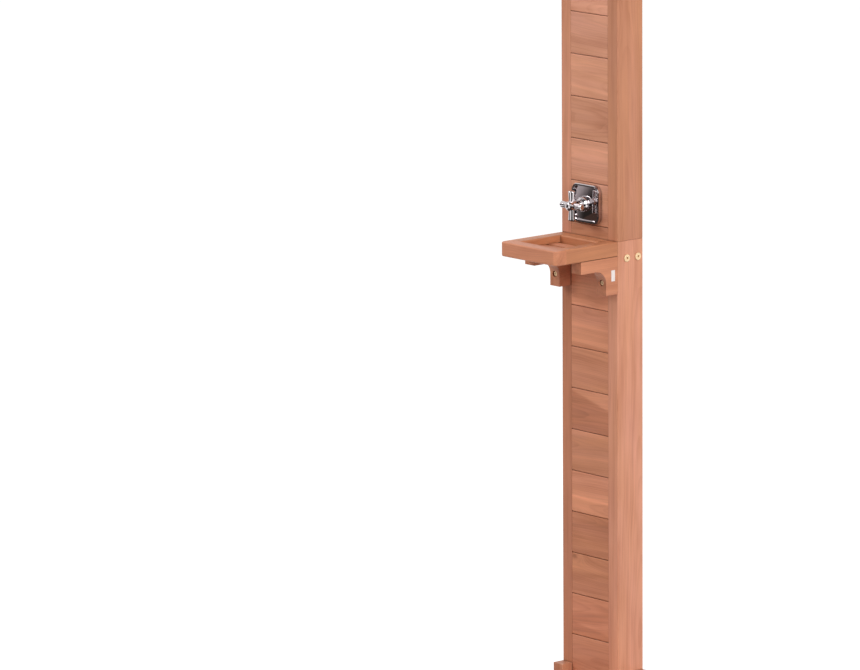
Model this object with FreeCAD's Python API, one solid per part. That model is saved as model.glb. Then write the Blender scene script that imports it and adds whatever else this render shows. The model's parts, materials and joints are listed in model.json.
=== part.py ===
import FreeCAD, Part
import math
import os

# Outdoor shower post, millimetres. +Z is up, the front faces -Y, and the origin is
# on the floor under the middle of the platform.

# ---- driving dimensions -------------------------------------------------------
# standing platform
PLATFORM_X = 700.0
PLATFORM_Y = 700.0
PAD_HEIGHT = 6.0
PAD_RADIUS = 16.0
PAD_INSET = 45.0
JOIST_WIDTH = 40.0
JOIST_HEIGHT = 32.0
JOIST_EDGE_INSET = 10.0
JOIST_INNER_X = 85.0
SLAT_THICKNESS = 20.0
SLAT_COUNT = 9
SLAT_GAP = 8.0
SLAT_ROUND = 2.0
JOIST_SCREW_BITE = 19.0

# column
POST_WIDTH = 175.0
POST_DEPTH = 72.0
POST_SETBACK = 70.0
SECTION_HEIGHT = 1030.0
STILE_WIDTH = 30.0
REBATE_WIDTH = 8.0
POST_ROUND = 2.5
END_CHAMFER = 0.8
FRONT_BOARD_THICKNESS = 15.0
BACK_BOARD_THICKNESS = 8.0
BOARD_PITCH = 89.5
BOARD_GAP = 0.6
BOARD_CHAMFER = 1.6
BOARD_END_GAP = 0.3
PIPE_HOLE_GAP = 1.0
TONGUE_HEIGHT = 5.0
TONGUE_PLAY = 0.3
UPPER_FIRST_GROOVE = 26.0
LOWER_FIRST_GROOVE = 63.0
NOGGIN_HEIGHT = 40.0
NOGGIN_THICKNESS = 12.0
LOWER_NOGGIN_ABOVE_FOOT = 272.0
LOWER_NOGGIN_BELOW_JOINT = 238.0
UPPER_NOGGIN_ABOVE_JOINT = 400.0
UPPER_NOGGIN_BELOW_ARM = 155.0
CAP_THICKNESS = 18.0
CAP_OVERHANG = 6.0
CAP_ROUND = 4.0

# splice between the two sections
SPLICE_THICKNESS = 22.0
SPLICE_BELOW = 90.0
SPLICE_ABOVE = 150.0
SIDE_BOLT_DROP = 37.0
SIDE_BOLT_FROM_FRONT = 25.5
SIDE_BOLT_FROM_BACK = 15.0
BOLT_RADIUS = 3.5
BOLT_HEAD_RADIUS = 8.0
BOLT_HEAD_HEIGHT = 2.4
BOLT_HEAD_ROUND = 1.4
BOLT_SOCKET_RADIUS = 2.6
BOLT_SOCKET_DEPTH = 4.5
BOLT_END_GAP = 1.0
INSERT_RADIUS = 5.0
INSERT_LENGTH = 15.0
SPLICE_SCREW_HEIGHTS = (45.0, 120.0)

# soap tray and its brackets
TRAY_DEPTH = 174.5
TRAY_HEIGHT = 31.0
TRAY_RAIL = 30.0
TRAY_ROUND = 3.0
TRAY_CORNER = 10.0
TRAY_SLAT_DEPTH = 15.0
TRAY_SLAT_THICKNESS = 7.0
TRAY_SLAT_COUNT = 3
TRAY_SLAT_GAP = 9.0
TRAY_SLAT_SEAT = 6.0
BRACKET_DEPTH = 104.0
BRACKET_HEIGHT = 80.0
BRACKET_THICKNESS = 29.0
BRACKET_TIP = 26.0
BRACKET_LEG = 33.0
BRACKET_COVE = 28.0
BRACKET_SCREW_DROP = 54.0
TAG_WIDTH = 10.0
TAG_HEIGHT = 23.5
TAG_THICKNESS = 0.6
TAG_FROM_POST = 13.5
TAG_DROP = 70.0

# foot cleats
CLEAT_HEIGHT = 98.0
CLEAT_WIDTH = 30.0
CLEAT_THICKNESS = 28.0
CLEAT_ROUND = 2.0
CLEAT_SCREWS = (26.0, 72.0)

# wood screws
SCREW_RADIUS = 2.2
SCREW_HEAD_RADIUS = 5.2
SCREW_HEAD_HEIGHT = 2.6
SCREW_HEAD_ROUND = 1.3
SCREW_BITE = 26.0
SCREW_POINT_RADIUS = 0.4
RECESS_REACH = 3.0
RECESS_WIDTH = 1.0
RECESS_DEPTH = 1.5
SUNK_DEPTH = 0.3
COUNTERBORE_RADIUS = 6.8
COUNTERBORE_DEPTH = 4.5
CLEARANCE = 0.2
OVERCUT = 1.0
NEAR = 0.1
SHORT_EDGE = 0.5
PARALLEL = 0.999

# stop valve
VALVE_X = -4.5
VALVE_ABOVE_JOINT = 71.0
VALVE_BLOCK_HEIGHT = 100.0
VALVE_BLOCK_GAP = 2.0
PLATE_WIDTH = 84.0
PLATE_HEIGHT = 82.0
PLATE_THICKNESS = 9.5
PLATE_CORNER = 16.0
PLATE_BEVEL = 1.4
PLATE_RIM = 4.2
PLATE_RECESS = 7.0
PLATE_DOME = 240.0
PLATE_DOME_DROP = 1.0
BODY_RADIUS = 14.0
NECK_RADIUS = 10.8
NECK_REACH = 24.0
BONNET_BASE_RADIUS = 17.0
BONNET_TOP_RADIUS = 9.5
BONNET_REACH = 31.0
BONNET_FOOT = 2.0
BONNET_COLLAR = 5.0
BONNET_SWELL = (2.8, 13.0)
BONNET_PLAY = 1.0
SPINDLE_RADIUS = 4.0
RUNNING_CLEARANCE = 0.05
CARTRIDGE_RADIUS = 8.4
HUB_REACH = 46.0
HUB_LENGTH = 22.0
HUB_RADIUS = 10.0
HUB_BEVEL = 2.0
SPINDLE_PAST_ARMS = 3.0
ARM_LENGTH = 32.0
ARM_ROOT_RADIUS = 5.8
ARM_TIP_RADIUS = 7.8
ARM_ROOT_SINK = 2.0
ARM_TIP_ROUND = 3.0
HANDLE_SCREW_RADIUS = 2.0
HANDLE_SCREW_HEAD = 4.0
HANDLE_SCREW_SINK = 3.0
BUTTON_RADIUS = 7.4
BUTTON_EDGE = 1.2
BUTTON_HEIGHT = 1.6

# water pipes
PIPE_RADIUS = 7.5
PIPE_WALL = 1.0
PIPE_STANDOFF = 2.5
PIPE_BEND = 60.0
PIPE_JOG_LENGTH = 60.0
CLIP_WIDTH = 14.0
CLIP_FOOT = 13.0
CLIP_WALL = 1.8
SOCKET_DEPTH = 12.0
ELBOW_RADIUS = 10.0
ELBOW_REACH = 26.0
FITTING_BORE = 5.5
FITTING_CHAMBER = 6.0
ARM_SOCKET_WALL = 3.0
ARM_SOCKET_GAP = 1.0

# hose inlet
INLET_HEIGHT = 150.0
TAIL_RADIUS = 9.0
TAIL_BORE = 6.0
TAIL_FLANGE_RADIUS = 12.0
TAIL_FLANGE_THICKNESS = 3.0
BACK_FLANGE_RADIUS = 22.0
BACK_FLANGE_THICKNESS = 5.0
BACK_FLANGE_ROUND = 2.0
NUT_RADIUS = 17.0
NUT_LENGTH = 22.0
NUT_LIP = 4.0
NUT_THREAD_RADIUS = 13.2
NUT_STEP = 0.5
NUT_BEVEL = 1.2
NUT_GRIPS = 12
NUT_GRIP_RADIUS = 2.4
NUT_GRIP_DEPTH = 1.2
WASHER_THICKNESS = 3.0
FREE_CLEARANCE = 0.4

# shower arm and rain head
ARM_DROP = 55.0
PIPE_ARM_RADIUS = 10.5
PIPE_ARM_WALL = 2.5
PIPE_ARM_REACH = 268.0
PIPE_ARM_BEND = 38.0
PIPE_ARM_FALL = 66.0
ARM_FLANGE_RADIUS = 29.0
ARM_FLANGE_THICKNESS = 11.0
ARM_FLANGE_EDGE = 2.0
ARM_FLANGE_NOSE = 3.0
BALL_RADIUS = 13.0
BALL_NECK_RADIUS = 6.0
BALL_NECK_LENGTH = 4.0
BALL_COLLAR = 3.0
BALL_STUB = 7.0
BALL_BORE = 3.0
BALL_CLEARANCE = 0.3
SEAL_THICKNESS = 1.7
SEAL_LOW_ANGLE = 65.0
SEAL_HIGH_ANGLE = 22.0
BOSS_WALL = 2.2
BOSS_TOP = 5.2
BOSS_HEIGHT = 15.0
BALL_NUT_WALL = 4.2
BALL_NUT_TOP = 9.0
BALL_NUT_LIP_DROP = 0.5
BALL_NUT_LIP_WALL = 1.5
BALL_NUT_BOTTOM = 18.0
BALL_NUT_BEVEL = 1.5
BALL_NUT_GRIPS = 16
BALL_NUT_GRIP_RADIUS = 2.0
BALL_NUT_GRIP_DEPTH = 1.0
HEAD_RADIUS = 100.0
HEAD_RIM = 7.0
HEAD_WALL = 2.0
HEAD_TOP = 22.5
HEAD_SHOULDER = 29.0
HEAD_ROOT = 6.0
HEAD_EDGE = 10.0
HEAD_EDGE_DROP = 4.0
HEAD_EDGE_BULGE = (2.6, 1.4)
HEAD_WATERWAY = 4.5
FACE_THICKNESS = 3.0
NOZZLE_RINGS = 4
NOZZLE_SPACING = 19.0
NOZZLE_RADIUS = 1.9
NOZZLE_TIP_RADIUS = 1.2
NOZZLE_PROUD = 2.5
NOZZLE_FLANGE_RADIUS = 3.0
NOZZLE_FLANGE_THICKNESS = 1.0

# ---- derived places -----------------------------------------------------------
HALF_WIDTH = POST_WIDTH / 2
PLATFORM_TOP = PAD_HEIGHT + JOIST_HEIGHT + SLAT_THICKNESS
Z_FOOT = PLATFORM_TOP
Z_JOINT = Z_FOOT + SECTION_HEIGHT
Z_TOP = Z_JOINT + SECTION_HEIGHT
Y_BACK = PLATFORM_Y / 2 - POST_SETBACK
Y_FRONT = Y_BACK - POST_DEPTH
PLANK_THICKNESS = STILE_WIDTH + REBATE_WIDTH
X_CAVITY = HALF_WIDTH - PLANK_THICKNESS
X_STILE = HALF_WIDTH - STILE_WIDTH
Y_CAVITY_FRONT = Y_FRONT + FRONT_BOARD_THICKNESS
Y_CAVITY_BACK = Y_BACK - BACK_BOARD_THICKNESS
Y_NOGGIN = Y_CAVITY_BACK - NOGGIN_THICKNESS
Y_PIPE = Y_NOGGIN - PIPE_RADIUS - PIPE_STANDOFF
Z_VALVE = Z_JOINT + VALVE_ABOVE_JOINT
Z_INLET = Z_FOOT + INLET_HEIGHT
Z_ARM = Z_TOP - ARM_DROP
Y_HEAD = Y_FRONT - PIPE_ARM_REACH
Z_BALL = Z_ARM - PIPE_ARM_FALL
BALL_NECK_TOP = BALL_RADIUS + BALL_NECK_LENGTH
CUP_RADIUS = BALL_RADIUS + 2 * BALL_CLEARANCE + SEAL_THICKNESS
BOSS_RADIUS = CUP_RADIUS + BOSS_WALL
BALL_NUT_RADIUS = BOSS_RADIUS + BALL_CLEARANCE + BALL_NUT_WALL
LOWER_CLIP_HEIGHTS = [Z_FOOT + LOWER_NOGGIN_ABOVE_FOOT, Z_JOINT - LOWER_NOGGIN_BELOW_JOINT]
UPPER_CLIP_HEIGHTS = [Z_JOINT + UPPER_NOGGIN_ABOVE_JOINT, Z_ARM - UPPER_NOGGIN_BELOW_ARM]
VALVE_DEPTH = Y_PIPE - Y_FRONT
PIPE_BORE = PIPE_RADIUS - PIPE_WALL

X_AXIS = FreeCAD.Vector(1, 0, 0)
Y_AXIS = FreeCAD.Vector(0, 1, 0)
Z_AXIS = FreeCAD.Vector(0, 0, 1)

os.makedirs("parts", exist_ok=True)


# ---- small builders -----------------------------------------------------------
def vec(x, y, z):
    return FreeCAD.Vector(x, y, z)


def box(x0, x1, y0, y1, z0, z1):
    return Part.makeBox(x1 - x0, y1 - y0, z1 - z0, vec(x0, y0, z0))


def rod(radius, start, end):
    """A round bar between two points."""
    run = end - start
    return Part.makeCylinder(radius, run.Length, start, run)


def tube(outer, inner, start, end):
    """A round tube between two points."""
    return rod(outer, start, end).cut(rod(inner, start, end))


def prism(points, run):
    """Extrudes a closed outline of points along a vector."""
    return Part.Face(Part.makePolygon(points + points[:1])).extrude(run)


def edges_along(shape, axis, keep):
    """The straight edges of a shape that run along an axis and pass the test."""
    found = []
    for edge in shape.Edges:
        if len(edge.Vertexes) != 2 or edge.Curve.TypeId != "Part::GeomLine":
            continue
        run = edge.Vertexes[1].Point - edge.Vertexes[0].Point
        if run.Length > SHORT_EDGE and abs(run.normalize().dot(axis)) > PARALLEL and keep(edge.CenterOfMass):
            found.append(edge)
    return found


def rounded_box(x0, x1, y0, y1, z0, z1, radius):
    """A board with every edge rounded."""
    shape = box(x0, x1, y0, y1, z0, z1)
    return shape.makeFillet(radius, shape.Edges)


def cut_near(shape, tools):
    """Cuts only the tools whose boxes meet the shape's box."""
    near = [tool for tool in tools if tool.BoundBox.intersect(shape.BoundBox)]
    return shape.cut(near) if near else shape


def revolve(outline, centre, axis, across):
    """Turns a closed outline of (radius, height) edges into a solid about an axis.

    An entry is either a point, or ("arc", through, end) for a round stretch."""
    def place(pair):
        return centre + across * pair[0] + axis * pair[1]

    edges = []
    here = outline[0]
    for entry in outline[1:] + outline[:1]:
        if entry[0] == "arc":
            edges.append(Part.Arc(place(here), place(entry[1]), place(entry[2])).toShape())
            here = entry[2]
        else:
            edges.append(Part.LineSegment(place(here), place(entry)).toShape())
            here = entry
    return Part.Face(Part.Wire(edges)).revolve(centre, axis, 360)


def bent_path(points, bend):
    """Straight runs joined by tangent arcs of one radius."""
    edges = []
    here = points[0]
    for i in range(1, len(points) - 1):
        back = (points[i - 1] - points[i]).normalize()
        ahead = (points[i + 1] - points[i]).normalize()
        half_turn = (math.pi - back.getAngle(ahead)) / 2
        setback = bend * math.tan(half_turn)
        start = points[i] + back * setback
        end = points[i] + ahead * setback
        centre = points[i] + (back + ahead).normalize() * (bend / math.cos(half_turn))
        middle = centre + (points[i] - centre).normalize() * bend
        edges.append(Part.LineSegment(here, start).toShape())
        edges.append(Part.Arc(start, middle, end).toShape())
        here = end
    edges.append(Part.LineSegment(here, points[-1]).toShape())
    return Part.Wire(edges)


def sweep(path, radius):
    """A round bar along a path."""
    start = path.Edges[0].Vertexes[0].Point
    run = path.Edges[0].Vertexes[1].Point - start
    ring = Part.Wire(Part.makeCircle(radius, start, run))
    shell = Part.BRepOffsetAPI.MakePipeShell(path)
    shell.add(ring)
    shell.build()
    shell.makeSolid()
    return shell.shape()


def bent_tube(points, outer, inner, bend):
    path = bent_path(points, bend)
    return sweep(path, outer).cut(sweep(path, inner))


def save(name, shapes):
    """Writes one node; a node of several pieces keeps them as separate solids."""
    solids = [solid for shape in shapes for solid in shape.Solids]
    whole = solids[0] if len(solids) == 1 else Part.makeCompound(solids)
    for solid in solids:
        if not solid.isValid():
            raise ValueError("invalid solid in " + name)
    whole.exportStep("parts/" + name + ".step")
    print(name, len(solids), "solid(s)", round(whole.Volume / 1000, 1), "cm3")


# ---- fasteners ----------------------------------------------------------------
def cross_recess(face, out, turn):
    """The two slots of a cross recess, cut into a screw's face, which looks along out."""
    slots = []
    for angle in (turn, turn + 90):
        slot = box(-RECESS_REACH, RECESS_REACH, -RECESS_WIDTH / 2, RECESS_WIDTH / 2, -RECESS_DEPTH, OVERCUT)
        slot.rotate(vec(0, 0, 0), Z_AXIS, angle)
        slot.Placement = FreeCAD.Placement(face, FreeCAD.Rotation(Z_AXIS, out)).multiply(slot.Placement)
        slots.append(slot)
    return slots


def screw(seat, run, length):
    """A cross-recess wood screw: seat is under the head, run is where it goes."""
    run = run.normalize()
    out = run * -1
    head = Part.makeCylinder(SCREW_HEAD_RADIUS, SCREW_HEAD_HEIGHT, seat, out)
    rim = [edge for edge in head.Edges if edge.CenterOfMass.isEqual(seat + out * SCREW_HEAD_HEIGHT, NEAR)]
    head = head.makeFillet(SCREW_HEAD_ROUND, rim)
    tip = SCREW_RADIUS * 2
    shank = rod(SCREW_RADIUS, seat, seat + run * (length - tip))
    point = Part.makeCone(SCREW_RADIUS, SCREW_POINT_RADIUS, tip, seat + run * (length - tip), run)
    recess = cross_recess(seat + out * SCREW_HEAD_HEIGHT, out, 0)
    return head.fuse([shank, point]).cut(recess)


def screw_hole(seat, run, length, mouth):
    """The clearance that a screw takes, with its counterbore out to the mouth."""
    run = run.normalize()
    shank = rod(SCREW_RADIUS + CLEARANCE, seat - run * CLEARANCE, seat + run * (length + OVERCUT))
    return shank.fuse(rod(COUNTERBORE_RADIUS, seat - run * mouth, seat))


def sunk_screw(top, run, length):
    """A countersunk screw whose head lies just under the surface."""
    run = run.normalize()
    face = top + run * SUNK_DEPTH
    head = Part.makeCone(SCREW_HEAD_RADIUS, SCREW_RADIUS, SCREW_HEAD_HEIGHT, face, run)
    shank = rod(SCREW_RADIUS, face + run * SCREW_HEAD_HEIGHT, face + run * length)
    return head.fuse(shank).cut(cross_recess(face, run * -1, 45))


def sunk_hole(top, run, length):
    run = run.normalize()
    face = top + run * SUNK_DEPTH
    mouth = rod(SCREW_HEAD_RADIUS + CLEARANCE, top - run * OVERCUT, face)
    cone = Part.makeCone(SCREW_HEAD_RADIUS + CLEARANCE, SCREW_RADIUS + CLEARANCE,
                         SCREW_HEAD_HEIGHT, face, run)
    shank = rod(SCREW_RADIUS + CLEARANCE, face, face + run * (length + OVERCUT))
    return mouth.fuse([cone, shank])


# ---- standing platform --------------------------------------------------------
def slat_spans():
    width = (PLATFORM_Y - (SLAT_COUNT - 1) * SLAT_GAP) / SLAT_COUNT
    low = -PLATFORM_Y / 2
    return [(low + i * (width + SLAT_GAP), low + i * (width + SLAT_GAP) + width) for i in range(SLAT_COUNT)]


def joist_centres():
    outer = PLATFORM_X / 2 - JOIST_EDGE_INSET - JOIST_WIDTH / 2
    return [-outer, -JOIST_INNER_X, JOIST_INNER_X, outer]


def platform():
    places = [vec(x, (y0 + y1) / 2, PLATFORM_TOP) for y0, y1 in slat_spans() for x in joist_centres()]
    down = Z_AXIS * -1
    length = SLAT_THICKNESS + JOIST_SCREW_BITE
    holes = [sunk_hole(place, down, length) for place in places]
    slats = []
    for y0, y1 in slat_spans():
        slat = box(-PLATFORM_X / 2, PLATFORM_X / 2, y0, y1, PLATFORM_TOP - SLAT_THICKNESS, PLATFORM_TOP)
        upper = edges_along(slat, X_AXIS, lambda c: c.z > PLATFORM_TOP - NEAR)
        ends = edges_along(slat, Y_AXIS, lambda c: c.z > PLATFORM_TOP - NEAR)
        slats.append(cut_near(slat.makeFillet(SLAT_ROUND, upper + ends), holes))
    joists = []
    pads = []
    for x in joist_centres():
        joist = box(x - JOIST_WIDTH / 2, x + JOIST_WIDTH / 2, -PLATFORM_Y / 2 + JOIST_EDGE_INSET,
                    PLATFORM_Y / 2 - JOIST_EDGE_INSET, PAD_HEIGHT, PAD_HEIGHT + JOIST_HEIGHT)
        joists.append(cut_near(joist, holes))
        for y in (-PLATFORM_Y / 2 + PAD_INSET, PLATFORM_Y / 2 - PAD_INSET):
            pads.append(rod(PAD_RADIUS, vec(x, y, 0), vec(x, y, PAD_HEIGHT)))
    save("platform_slats", slats)
    save("platform_joists", joists)
    save("platform_screws", [sunk_screw(place, down, length) for place in places])
    save("rubber_feet", pads)


# ---- column -------------------------------------------------------------------
def bolt_places(side):
    """The seats of the side bolts' heads on one side of the lower section."""
    depths = (Y_FRONT + SIDE_BOLT_FROM_FRONT, Y_BACK - SIDE_BOLT_FROM_BACK)
    return [vec(side * HALF_WIDTH, y, Z_JOINT - SIDE_BOLT_DROP) for y in depths]


def splice_screw_places(side):
    y = (Y_CAVITY_FRONT + Y_CAVITY_BACK) / 2
    return [vec(side * (X_CAVITY - SPLICE_THICKNESS), y, Z_JOINT + z) for z in SPLICE_SCREW_HEIGHTS]


def bracket_screw_place(side):
    x = side * (HALF_WIDTH - BRACKET_THICKNESS / 2)
    y = Y_FRONT - BRACKET_LEG + COUNTERBORE_DEPTH
    return vec(x, y, Z_JOINT - TRAY_HEIGHT - BRACKET_SCREW_DROP)


def cleat_screw_seats():
    """Each seat and direction of the foot cleats' screws."""
    seats = []
    for side in (-1, 1):
        for z in CLEAT_SCREWS:
            front = vec(side * (HALF_WIDTH - CLEAT_WIDTH / 2), Y_FRONT - CLEAT_THICKNESS + COUNTERBORE_DEPTH,
                        Z_FOOT + z)
            flank = vec(side * (HALF_WIDTH + CLEAT_THICKNESS - COUNTERBORE_DEPTH), Y_BACK - CLEAT_WIDTH / 2,
                        Z_FOOT + z)
            seats.append((front, Y_AXIS))
            seats.append((flank, X_AXIS * -side))
    return seats


BRACKET_SCREW_LENGTH = BRACKET_LEG - COUNTERBORE_DEPTH + SCREW_BITE
CLEAT_SCREW_LENGTH = CLEAT_THICKNESS - COUNTERBORE_DEPTH + SCREW_BITE
SPLICE_SCREW_LENGTH = SPLICE_THICKNESS + SCREW_BITE


def column_holes():
    """Everything that is bored into the side planks."""
    holes = []
    for side in (-1, 1):
        for place in bolt_places(side):
            inside = place - X_AXIS * side * (PLANK_THICKNESS + OVERCUT)
            holes.append(rod(BOLT_RADIUS + CLEARANCE, place + X_AXIS * side * OVERCUT, inside))
        for place in splice_screw_places(side):
            holes.append(sunk_hole(place, X_AXIS * side, SPLICE_SCREW_LENGTH))
        holes.append(screw_hole(bracket_screw_place(side), Y_AXIS, BRACKET_SCREW_LENGTH, COUNTERBORE_DEPTH))
    for seat, run in cleat_screw_seats():
        holes.append(screw_hole(seat, run, CLEAT_SCREW_LENGTH, COUNTERBORE_DEPTH))
    return holes


def side_plank(side, z0, z1, holes):
    """One side of a section, with a rebate at the front and the back for the boards."""
    outer = side * HALF_WIDTH
    inner = side * X_CAVITY
    shoulder = side * X_STILE
    plank = box(min(outer, inner), max(outer, inner), Y_FRONT, Y_BACK, z0, z1)
    corners = edges_along(plank, Z_AXIS, lambda c: abs(c.x) > HALF_WIDTH - NEAR)
    plank = plank.makeFillet(POST_ROUND, corners)
    ends = [edge for edge in plank.Edges
            if abs(edge.CenterOfMass.z - Z_JOINT) < NEAR and edge.CenterOfMass.x * side > X_CAVITY + NEAR]
    plank = plank.makeChamfer(END_CHAMFER, ends)
    past = inner - side * OVERCUT
    front = box(min(shoulder, past), max(shoulder, past), Y_FRONT - OVERCUT, Y_CAVITY_FRONT,
                z0 - OVERCUT, z1 + OVERCUT)
    back = box(min(shoulder, past), max(shoulder, past), Y_CAVITY_BACK, Y_BACK + OVERCUT,
               z0 - OVERCUT, z1 + OVERCUT)
    return cut_near(plank.cut([front, back]), holes)


def board(z0, z1, face, inward, thickness, joint_below, joint_above):
    """One tongue-and-groove board, lying across the column."""
    third = thickness / 3
    low = z0 + BOARD_GAP / 2 if joint_below else z0
    high = z1 - BOARD_GAP / 2 if joint_above else z1
    outline = []
    if joint_below:
        slot = TONGUE_HEIGHT + TONGUE_PLAY
        outline += [(0, low + BOARD_CHAMFER), (BOARD_CHAMFER, low)]
        outline += [(third - TONGUE_PLAY, low), (third - TONGUE_PLAY, low + slot)]
        outline += [(2 * third + TONGUE_PLAY, low + slot), (2 * third + TONGUE_PLAY, low)]
        outline += [(thickness, low)]
    else:
        outline += [(0, low), (thickness, low)]
    if joint_above:
        outline += [(thickness, high), (2 * third, high), (2 * third, high + TONGUE_HEIGHT)]
        outline += [(third, high + TONGUE_HEIGHT), (third, high)]
        outline += [(BOARD_CHAMFER, high), (0, high - BOARD_CHAMFER)]
    else:
        outline += [(thickness, high), (0, high)]
    half = X_STILE - BOARD_END_GAP
    points = [vec(-half, face + inward * depth, z) for depth, z in outline]
    return prism(points, X_AXIS * (2 * half))


def groove_heights(z0, z1, first, step):
    """The board joints of a section, from its first joint on by whole pitches."""
    heights = []
    z = first
    while z0 + TONGUE_HEIGHT * 2 < z < z1 - TONGUE_HEIGHT * 2:
        heights.append(z)
        z += step
    return sorted(heights)


def boards(z0, z1, joints, face, inward, thickness, holes):
    levels = [z0] + joints + [z1]
    made = []
    for i in range(len(levels) - 1):
        piece = board(levels[i], levels[i + 1], face, inward, thickness, i > 0, i < len(levels) - 2)
        made.append(cut_near(piece, holes))
    return made


def noggin(z, holes):
    block = box(-X_CAVITY, X_CAVITY, Y_NOGGIN, Y_CAVITY_BACK, z - NOGGIN_HEIGHT / 2, z + NOGGIN_HEIGHT / 2)
    return cut_near(block, holes)


def column():
    holes = column_holes()
    save("lower_side_left", [side_plank(-1, Z_FOOT, Z_JOINT, holes)])
    save("lower_side_right", [side_plank(1, Z_FOOT, Z_JOINT, holes)])
    save("upper_side_left", [side_plank(-1, Z_JOINT, Z_TOP, holes)])
    save("upper_side_right", [side_plank(1, Z_JOINT, Z_TOP, holes)])
    lower = groove_heights(Z_FOOT, Z_JOINT, Z_JOINT - LOWER_FIRST_GROOVE, -BOARD_PITCH)
    upper = groove_heights(Z_JOINT, Z_TOP, Z_JOINT + UPPER_FIRST_GROOVE, BOARD_PITCH)
    outside = Y_FRONT - OVERCUT
    inside = Y_CAVITY_FRONT + OVERCUT
    neck = rod(BODY_RADIUS + PIPE_HOLE_GAP, vec(VALVE_X, outside, Z_VALVE), vec(VALVE_X, inside, Z_VALVE))
    arm = rod(PIPE_ARM_RADIUS + PIPE_HOLE_GAP, vec(0, outside, Z_ARM), vec(0, inside, Z_ARM))
    tail = rod(TAIL_RADIUS + CLEARANCE, vec(0, Y_NOGGIN - OVERCUT, Z_INLET),
               vec(0, Y_BACK + OVERCUT, Z_INLET))
    save("lower_front_boards", boards(Z_FOOT, Z_JOINT, lower, Y_FRONT, 1, FRONT_BOARD_THICKNESS, []))
    save("upper_front_boards", boards(Z_JOINT, Z_TOP, upper, Y_FRONT, 1, FRONT_BOARD_THICKNESS, [neck, arm]))
    save("lower_back_boards", boards(Z_FOOT, Z_JOINT, lower, Y_BACK, -1, BACK_BOARD_THICKNESS, [tail]))
    save("upper_back_boards", boards(Z_JOINT, Z_TOP, upper, Y_BACK, -1, BACK_BOARD_THICKNESS, []))
    save("lower_noggins", [noggin(z, [tail]) for z in [Z_INLET] + LOWER_CLIP_HEIGHTS])
    save("upper_noggins", [noggin(z, []) for z in UPPER_CLIP_HEIGHTS + [Z_ARM]])
    half = HALF_WIDTH + CAP_OVERHANG
    save("top_cap", [rounded_box(-half, half, Y_FRONT - CAP_OVERHANG, Y_BACK + CAP_OVERHANG,
                                 Z_TOP, Z_TOP + CAP_THICKNESS, CAP_ROUND)])


# ---- splice -------------------------------------------------------------------
def side_bolt(place, out):
    """A flat-headed bolt with a hexagon socket; out points away from the column."""
    head = Part.makeCylinder(BOLT_HEAD_RADIUS, BOLT_HEAD_HEIGHT, place, out)
    rim = [edge for edge in head.Edges if edge.CenterOfMass.isEqual(place + out * BOLT_HEAD_HEIGHT, NEAR)]
    head = head.makeFillet(BOLT_HEAD_ROUND, rim)
    shank = rod(BOLT_RADIUS, place, place - out * (PLANK_THICKNESS + INSERT_LENGTH - BOLT_END_GAP))
    corners = []
    for i in range(6):
        turn = math.radians(60 * i)
        corners.append(place + out * (BOLT_HEAD_HEIGHT + OVERCUT)
                       + Y_AXIS * (BOLT_SOCKET_RADIUS * math.cos(turn))
                       + Z_AXIS * (BOLT_SOCKET_RADIUS * math.sin(turn)))
    socket = prism(corners, out * -(BOLT_SOCKET_DEPTH + OVERCUT))
    return head.fuse(shank).cut(socket)


def splice():
    bolts = []
    inserts = []
    screws = []
    for side, name in ((-1, "left"), (1, "right")):
        out = X_AXIS * side
        inner = side * (X_CAVITY - SPLICE_THICKNESS)
        outer = side * X_CAVITY
        holes = []
        for place in bolt_places(side):
            mouth = place - out * PLANK_THICKNESS
            end = mouth - out * INSERT_LENGTH
            holes.append(rod(INSERT_RADIUS, mouth, end))
            inserts.append(tube(INSERT_RADIUS, BOLT_RADIUS + CLEARANCE / 2, mouth, end))
            bolts.append(side_bolt(place, out))
        for place in splice_screw_places(side):
            holes.append(sunk_hole(place, out, SPLICE_SCREW_LENGTH))
            screws.append(sunk_screw(place, out, SPLICE_SCREW_LENGTH))
        block = box(min(inner, outer), max(inner, outer), Y_CAVITY_FRONT, Y_CAVITY_BACK,
                    Z_JOINT - SPLICE_BELOW, Z_JOINT + SPLICE_ABOVE)
        save("splice_block_" + name, [cut_near(block, holes)])
    save("side_bolts", bolts)
    save("splice_inserts", inserts)
    save("splice_screws", screws)


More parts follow.
